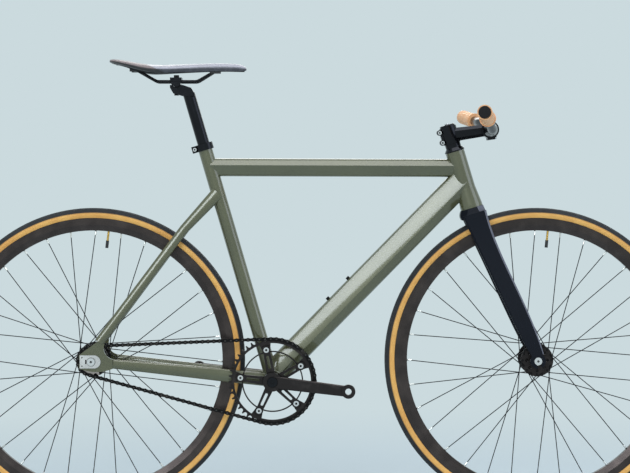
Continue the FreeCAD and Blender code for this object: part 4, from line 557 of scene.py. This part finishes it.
def grip_rubber():
    """Soft tan rubber with fine moulded rings, painted shade in their grooves, and a little grime."""
    rubber = Surface("grip_rubber")
    rings = rubber.sine(rubber.times(rubber.sideways(), ring_pitch))
    grime = rubber.noise(grime_scale, detail=5.0)
    tone = rubber.blend(rubber.spread(grime, low=0.35, high=0.75), grip_tan, grip_grime)
    # Painted shade: the troughs of the moulded rings are darker.
    tone = rubber.blend(rubber.spread(rings, low=-1.0, high=-0.4, start=0.35, end=0.0), tone, grip_groove_shade)
    rubber.set(Base_Color=tone, Roughness=rubber.spread(grime, *noise_middle, *grip_gloss))
    rubber.set(Sheen_Weight=0.08, Subsurface_Weight=0.05)
    skin = rubber.times(rubber.noise(skin_scale), skin_to_ring)
    rubber.bump(rubber.plus(rings, skin), ring_depth)
    rubber.on("grips")


def plastic(name, tone, light_tone, roughness, specular=0.5):
    """Moulded plastic with a fine spark texture."""
    surface = Surface(name)
    patches = surface.noise(mould_scale)
    surface.set(Base_Color=surface.blend(patches, tone, light_tone), Specular_IOR_Level=specular)
    uneven = surface.spread(patches, *noise_middle, start=roughness - 0.05, end=roughness + 0.07)
    surface.set(Roughness=uneven)
    surface.bump(surface.noise(spark_scale, detail=2.0), spark_depth)
    return surface


def saddle_leather():
    """Smooth cover in front, suede on the rear wings, and a stitched seam between them; both are painted
    lighter where they face upward, as a painted highlight.
    """
    leather = Surface("saddle_leather")
    parts = leather.parts(leather.away_from(saddle_clamp))
    line = leather.plus(leather.times(parts["Z"], seam_slope), parts["X"])
    from_seam = leather.minus(line, seam_place)
    front = leather.spread(from_seam, -seam_half_width, seam_half_width)
    crease = leather.noise(crease_scale, detail=5.0)
    # Painted highlight: places that face upward are lighter, as if lit from above; the crease noise adds
    # random tone.
    upward_highlight = leather.spread(leather.parts(leather.facing)["Z"], *highlight_facing)
    highlight_and_creases = leather.plus(upward_highlight, leather.spread(crease, *noise_middle, start=-0.1, end=0.1))
    smooth = leather.blend(highlight_and_creases, cover_tone, cover_painted_highlight)
    suede = leather.blend(highlight_and_creases, wing_tone, wing_painted_highlight)
    near_seam = leather.spread(leather.without_sign(from_seam), 0, seam_half_width, start=1.0, end=0.0)
    stitches = leather.without_sign(leather.sine(leather.times(parts["Y"], stitch_pitch)))
    thread = leather.times(near_seam, leather.spread(stitches, low=0.3, high=0.6))
    tone = leather.blend(front, suede, smooth)
    leather.set(Base_Color=leather.blend(leather.times(thread, stitch_shade), tone, wing_tone))
    leather.set(Roughness=leather.spread(front, 0, 1, *suede_to_leather_gloss), Specular_IOR_Level=0.6)
    leather.set(Sheen_Weight=0.2, Sheen_Roughness=0.35, Sheen_Tint=linear(sheen_tone))
    leather.set(Coat_Weight=0.35, Coat_Roughness=0.32)
    pebble = leather.cells(pebble_scale)["Distance"]
    grain = leather.plus(pebble, leather.times(crease, crease_to_grain))
    seam = leather.times(leather.minus(thread, near_seam), seam_to_grain)
    leather.bump(leather.plus(grain, seam), leather_depth)
    return leather.material


def polish_pins(steel):
    """Bright pin ends, which stand out past the chain's outer plates."""
    reach = steel.without_sign(steel.minus(steel.sideways(), chain_plane))
    pin = steel.spread(reach, plate_reach, pin_reach)
    plates = steel.shader.inputs["Base Color"].links[0].from_socket
    steel.set(Base_Color=steel.blend(pin, plates, pin_tone))


frame_paint("down_tube_paint", crowned=True).on("down_tube")
paint = frame_paint("frame_paint")
paint.on("head_tube", "top_tube", "seat_tube", "bottom_bracket_shell")
paint.on("chain_stays", "seat_stays", "rear_dropouts")
carbon()
grip_rubber()
for end, axle in (("front", front_axle), ("rear", rear_axle)):
    tyre(f"{end}_tyre_rubber", axle).on(f"{end}_tyre")
    rim(f"{end}_rim_metal", axle).on(f"{end}_rim")
    inner_tube(f"{end}_tube_rubber", axle).on(f"{end}_inner_tube")

gloss_black = metal(
    "gloss_black", tone=(26, 27, 31), worn_tone=(36, 37, 42), roughness=0.2, shine=0.85, coat=0.15
)
gloss_black.on("stem", "stem_faceplate", "seatpost", "headset_cover", "top_cap", "handlebar", "crank_bolts")
gloss_black.on("seat_collar", "saddle_clamp")

satin_black = metal("satin_black", tone=(50, 46, 45), worn_tone=(70, 64, 62), roughness=0.38, shine=0.9)
satin_black.on("right_crank", "left_crank", "chainring", "bottom_bracket_cups")
satin_black.on("front_hub_shell", "rear_hub_shell")

black_steel = metal("black_steel", tone=(24, 24, 26), worn_tone=(58, 57, 58), roughness=0.3, shine=0.8)
black_steel.on("front_spokes", "rear_spokes", "saddle_rails", "saddle_clamp_bolt", "bottle_screws")

chain_steel = metal(
    "chain_steel", tone=(26, 25, 25), worn_tone=(74, 68, 62), roughness=0.34, shine=0.85, grain_scale=1500.0
)
polish_pins(chain_steel)
chain_steel.on("chain_outer_links", "chain_inner_links")

bright_steel = metal("bright_steel", tone=(228, 227, 226), worn_tone=(242, 241, 240), roughness=0.22)
bright_steel.on("headset_bearings", "crown_race", "star_nut", "top_cap_bolt", "stem_bolts")
bright_steel.on("front_axle", "rear_axle", "front_axle_bolts", "rear_axle_bolts", "lockring")
bright_steel.on("bottom_bracket_spindle", "chainring_bolts", "seat_collar_bolt")
bright_steel.on("front_hub_bearings", "rear_hub_bearings")

cog_steel = metal("cog_steel", tone=(178, 166, 160), worn_tone=(206, 198, 194), roughness=0.28)
cog_steel.on("cog")

nipple_brass = metal("nipple_brass", tone=(236, 235, 230), worn_tone=(246, 240, 226), roughness=0.3)
nipple_brass.on("front_nipples", "rear_nipples")

plate_alloy = metal(
    "plate_alloy", tone=(214, 210, 207), worn_tone=(232, 228, 225), roughness=0.32, grain_scale=500.0
)
plate_alloy.on("axle_plates")

plug_plastic = plastic(
    "plug_plastic", tone=(10, 10, 11), light_tone=(18, 18, 20), roughness=0.3, specular=0.12
)
plug_plastic.on("bar_plugs")

shell_plastic = plastic("shell_plastic", tone=(18, 18, 20), light_tone=(30, 30, 32), roughness=0.5)
shell_plastic.on("saddle_base")


# Saddle cover


def saddle_stations():
    """Place along the saddle, half width, top and skirt height of each section, from the clamp's centre."""
    return [
        (-0.1475, 0.0400, 0.0495, 0.0415),
        (-0.1367, 0.0602, 0.0510, 0.0395),
        (-0.1088, 0.0698, 0.0468, 0.0323),
        (-0.0617, 0.0586, 0.0375, 0.0183),
        (-0.0176, 0.0404, 0.0380, 0.0182),
        (0.0314, 0.0268, 0.0400, 0.0207),
        (0.0864, 0.0194, 0.0420, 0.0227),
        (0.1350, 0.0168, 0.0410, 0.0227),
        (0.1523, 0.0118, 0.0360, 0.0237),
        (0.1568, 0.0070, 0.0310, 0.0257),
    ]


def saddle_section(half, top, bottom):
    """One loop of points: crown with its shallow channel, shoulder, belly, skirt and hollow underside."""
    rise = top - bottom
    recess = min(underside_recess, underside_share * rise)
    channel = channel_depth * min(1.0, half / channel_full_half_width)
    right = [
        (0.0, top - channel),
        (0.22 * half, top - 0.01 * rise),
        (0.55 * half, top - 0.08 * rise),
        (0.84 * half, bottom + 0.77 * rise),
        (0.975 * half, bottom + 0.58 * rise),
        (0.995 * half, bottom + 0.36 * rise),
        (0.94 * half, bottom + 0.12 * rise),
        (0.86 * half, bottom),
        (0.78 * half, bottom + 0.1 * recess),
        (0.4 * half, bottom + 0.8 * recess),
    ]
    middle_under = [(0.0, bottom + recess)]
    left = [(-y, z) for y, z in reversed(right[1:])]
    return right + middle_under + left


def saddle_skin():
    """Closed mesh through the sections, with a fan of faces at each end."""
    mesh = bmesh.new()
    loops = []
    for x, half, top, bottom in saddle_stations():
        section = saddle_section(half, top, bottom)
        loops.append([mesh.verts.new(saddle_clamp + Vector((x, y, z))) for y, z in section])
    for behind, ahead in zip(loops, loops[1:]):
        for i in range(len(behind)):
            j = (i + 1) % len(behind)
            mesh.faces.new((behind[i], behind[j], ahead[j], ahead[i]))
    for loop in (loops[0], loops[-1]):
        centre = sum((vertex.co for vertex in loop), Vector()) / len(loop)
        hub = mesh.verts.new(centre)
        for i in range(len(loop)):
            mesh.faces.new((loop[i], loop[(i + 1) % len(loop)], hub))
    bmesh.ops.recalc_face_normals(mesh, faces=mesh.faces)
    data = bpy.data.meshes.new("saddle_padding")
    mesh.to_mesh(data)
    mesh.free()
    for face in data.polygons:
        face.use_smooth = True
    return data


def saddle_cover():
    """Padded cover, one closed skin with a rolled lower edge."""
    data = saddle_skin()
    cover = bpy.data.objects.new("saddle_padding", data)
    scene.collection.objects.link(cover)
    rounding = cover.modifiers.new("rounding", "SUBSURF")
    rounding.levels = rounding_levels
    rounding.render_levels = rounding_levels
    data.materials.append(saddle_leather())
    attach(cover, "saddle")
    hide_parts("saddle_cover")


saddle_cover()
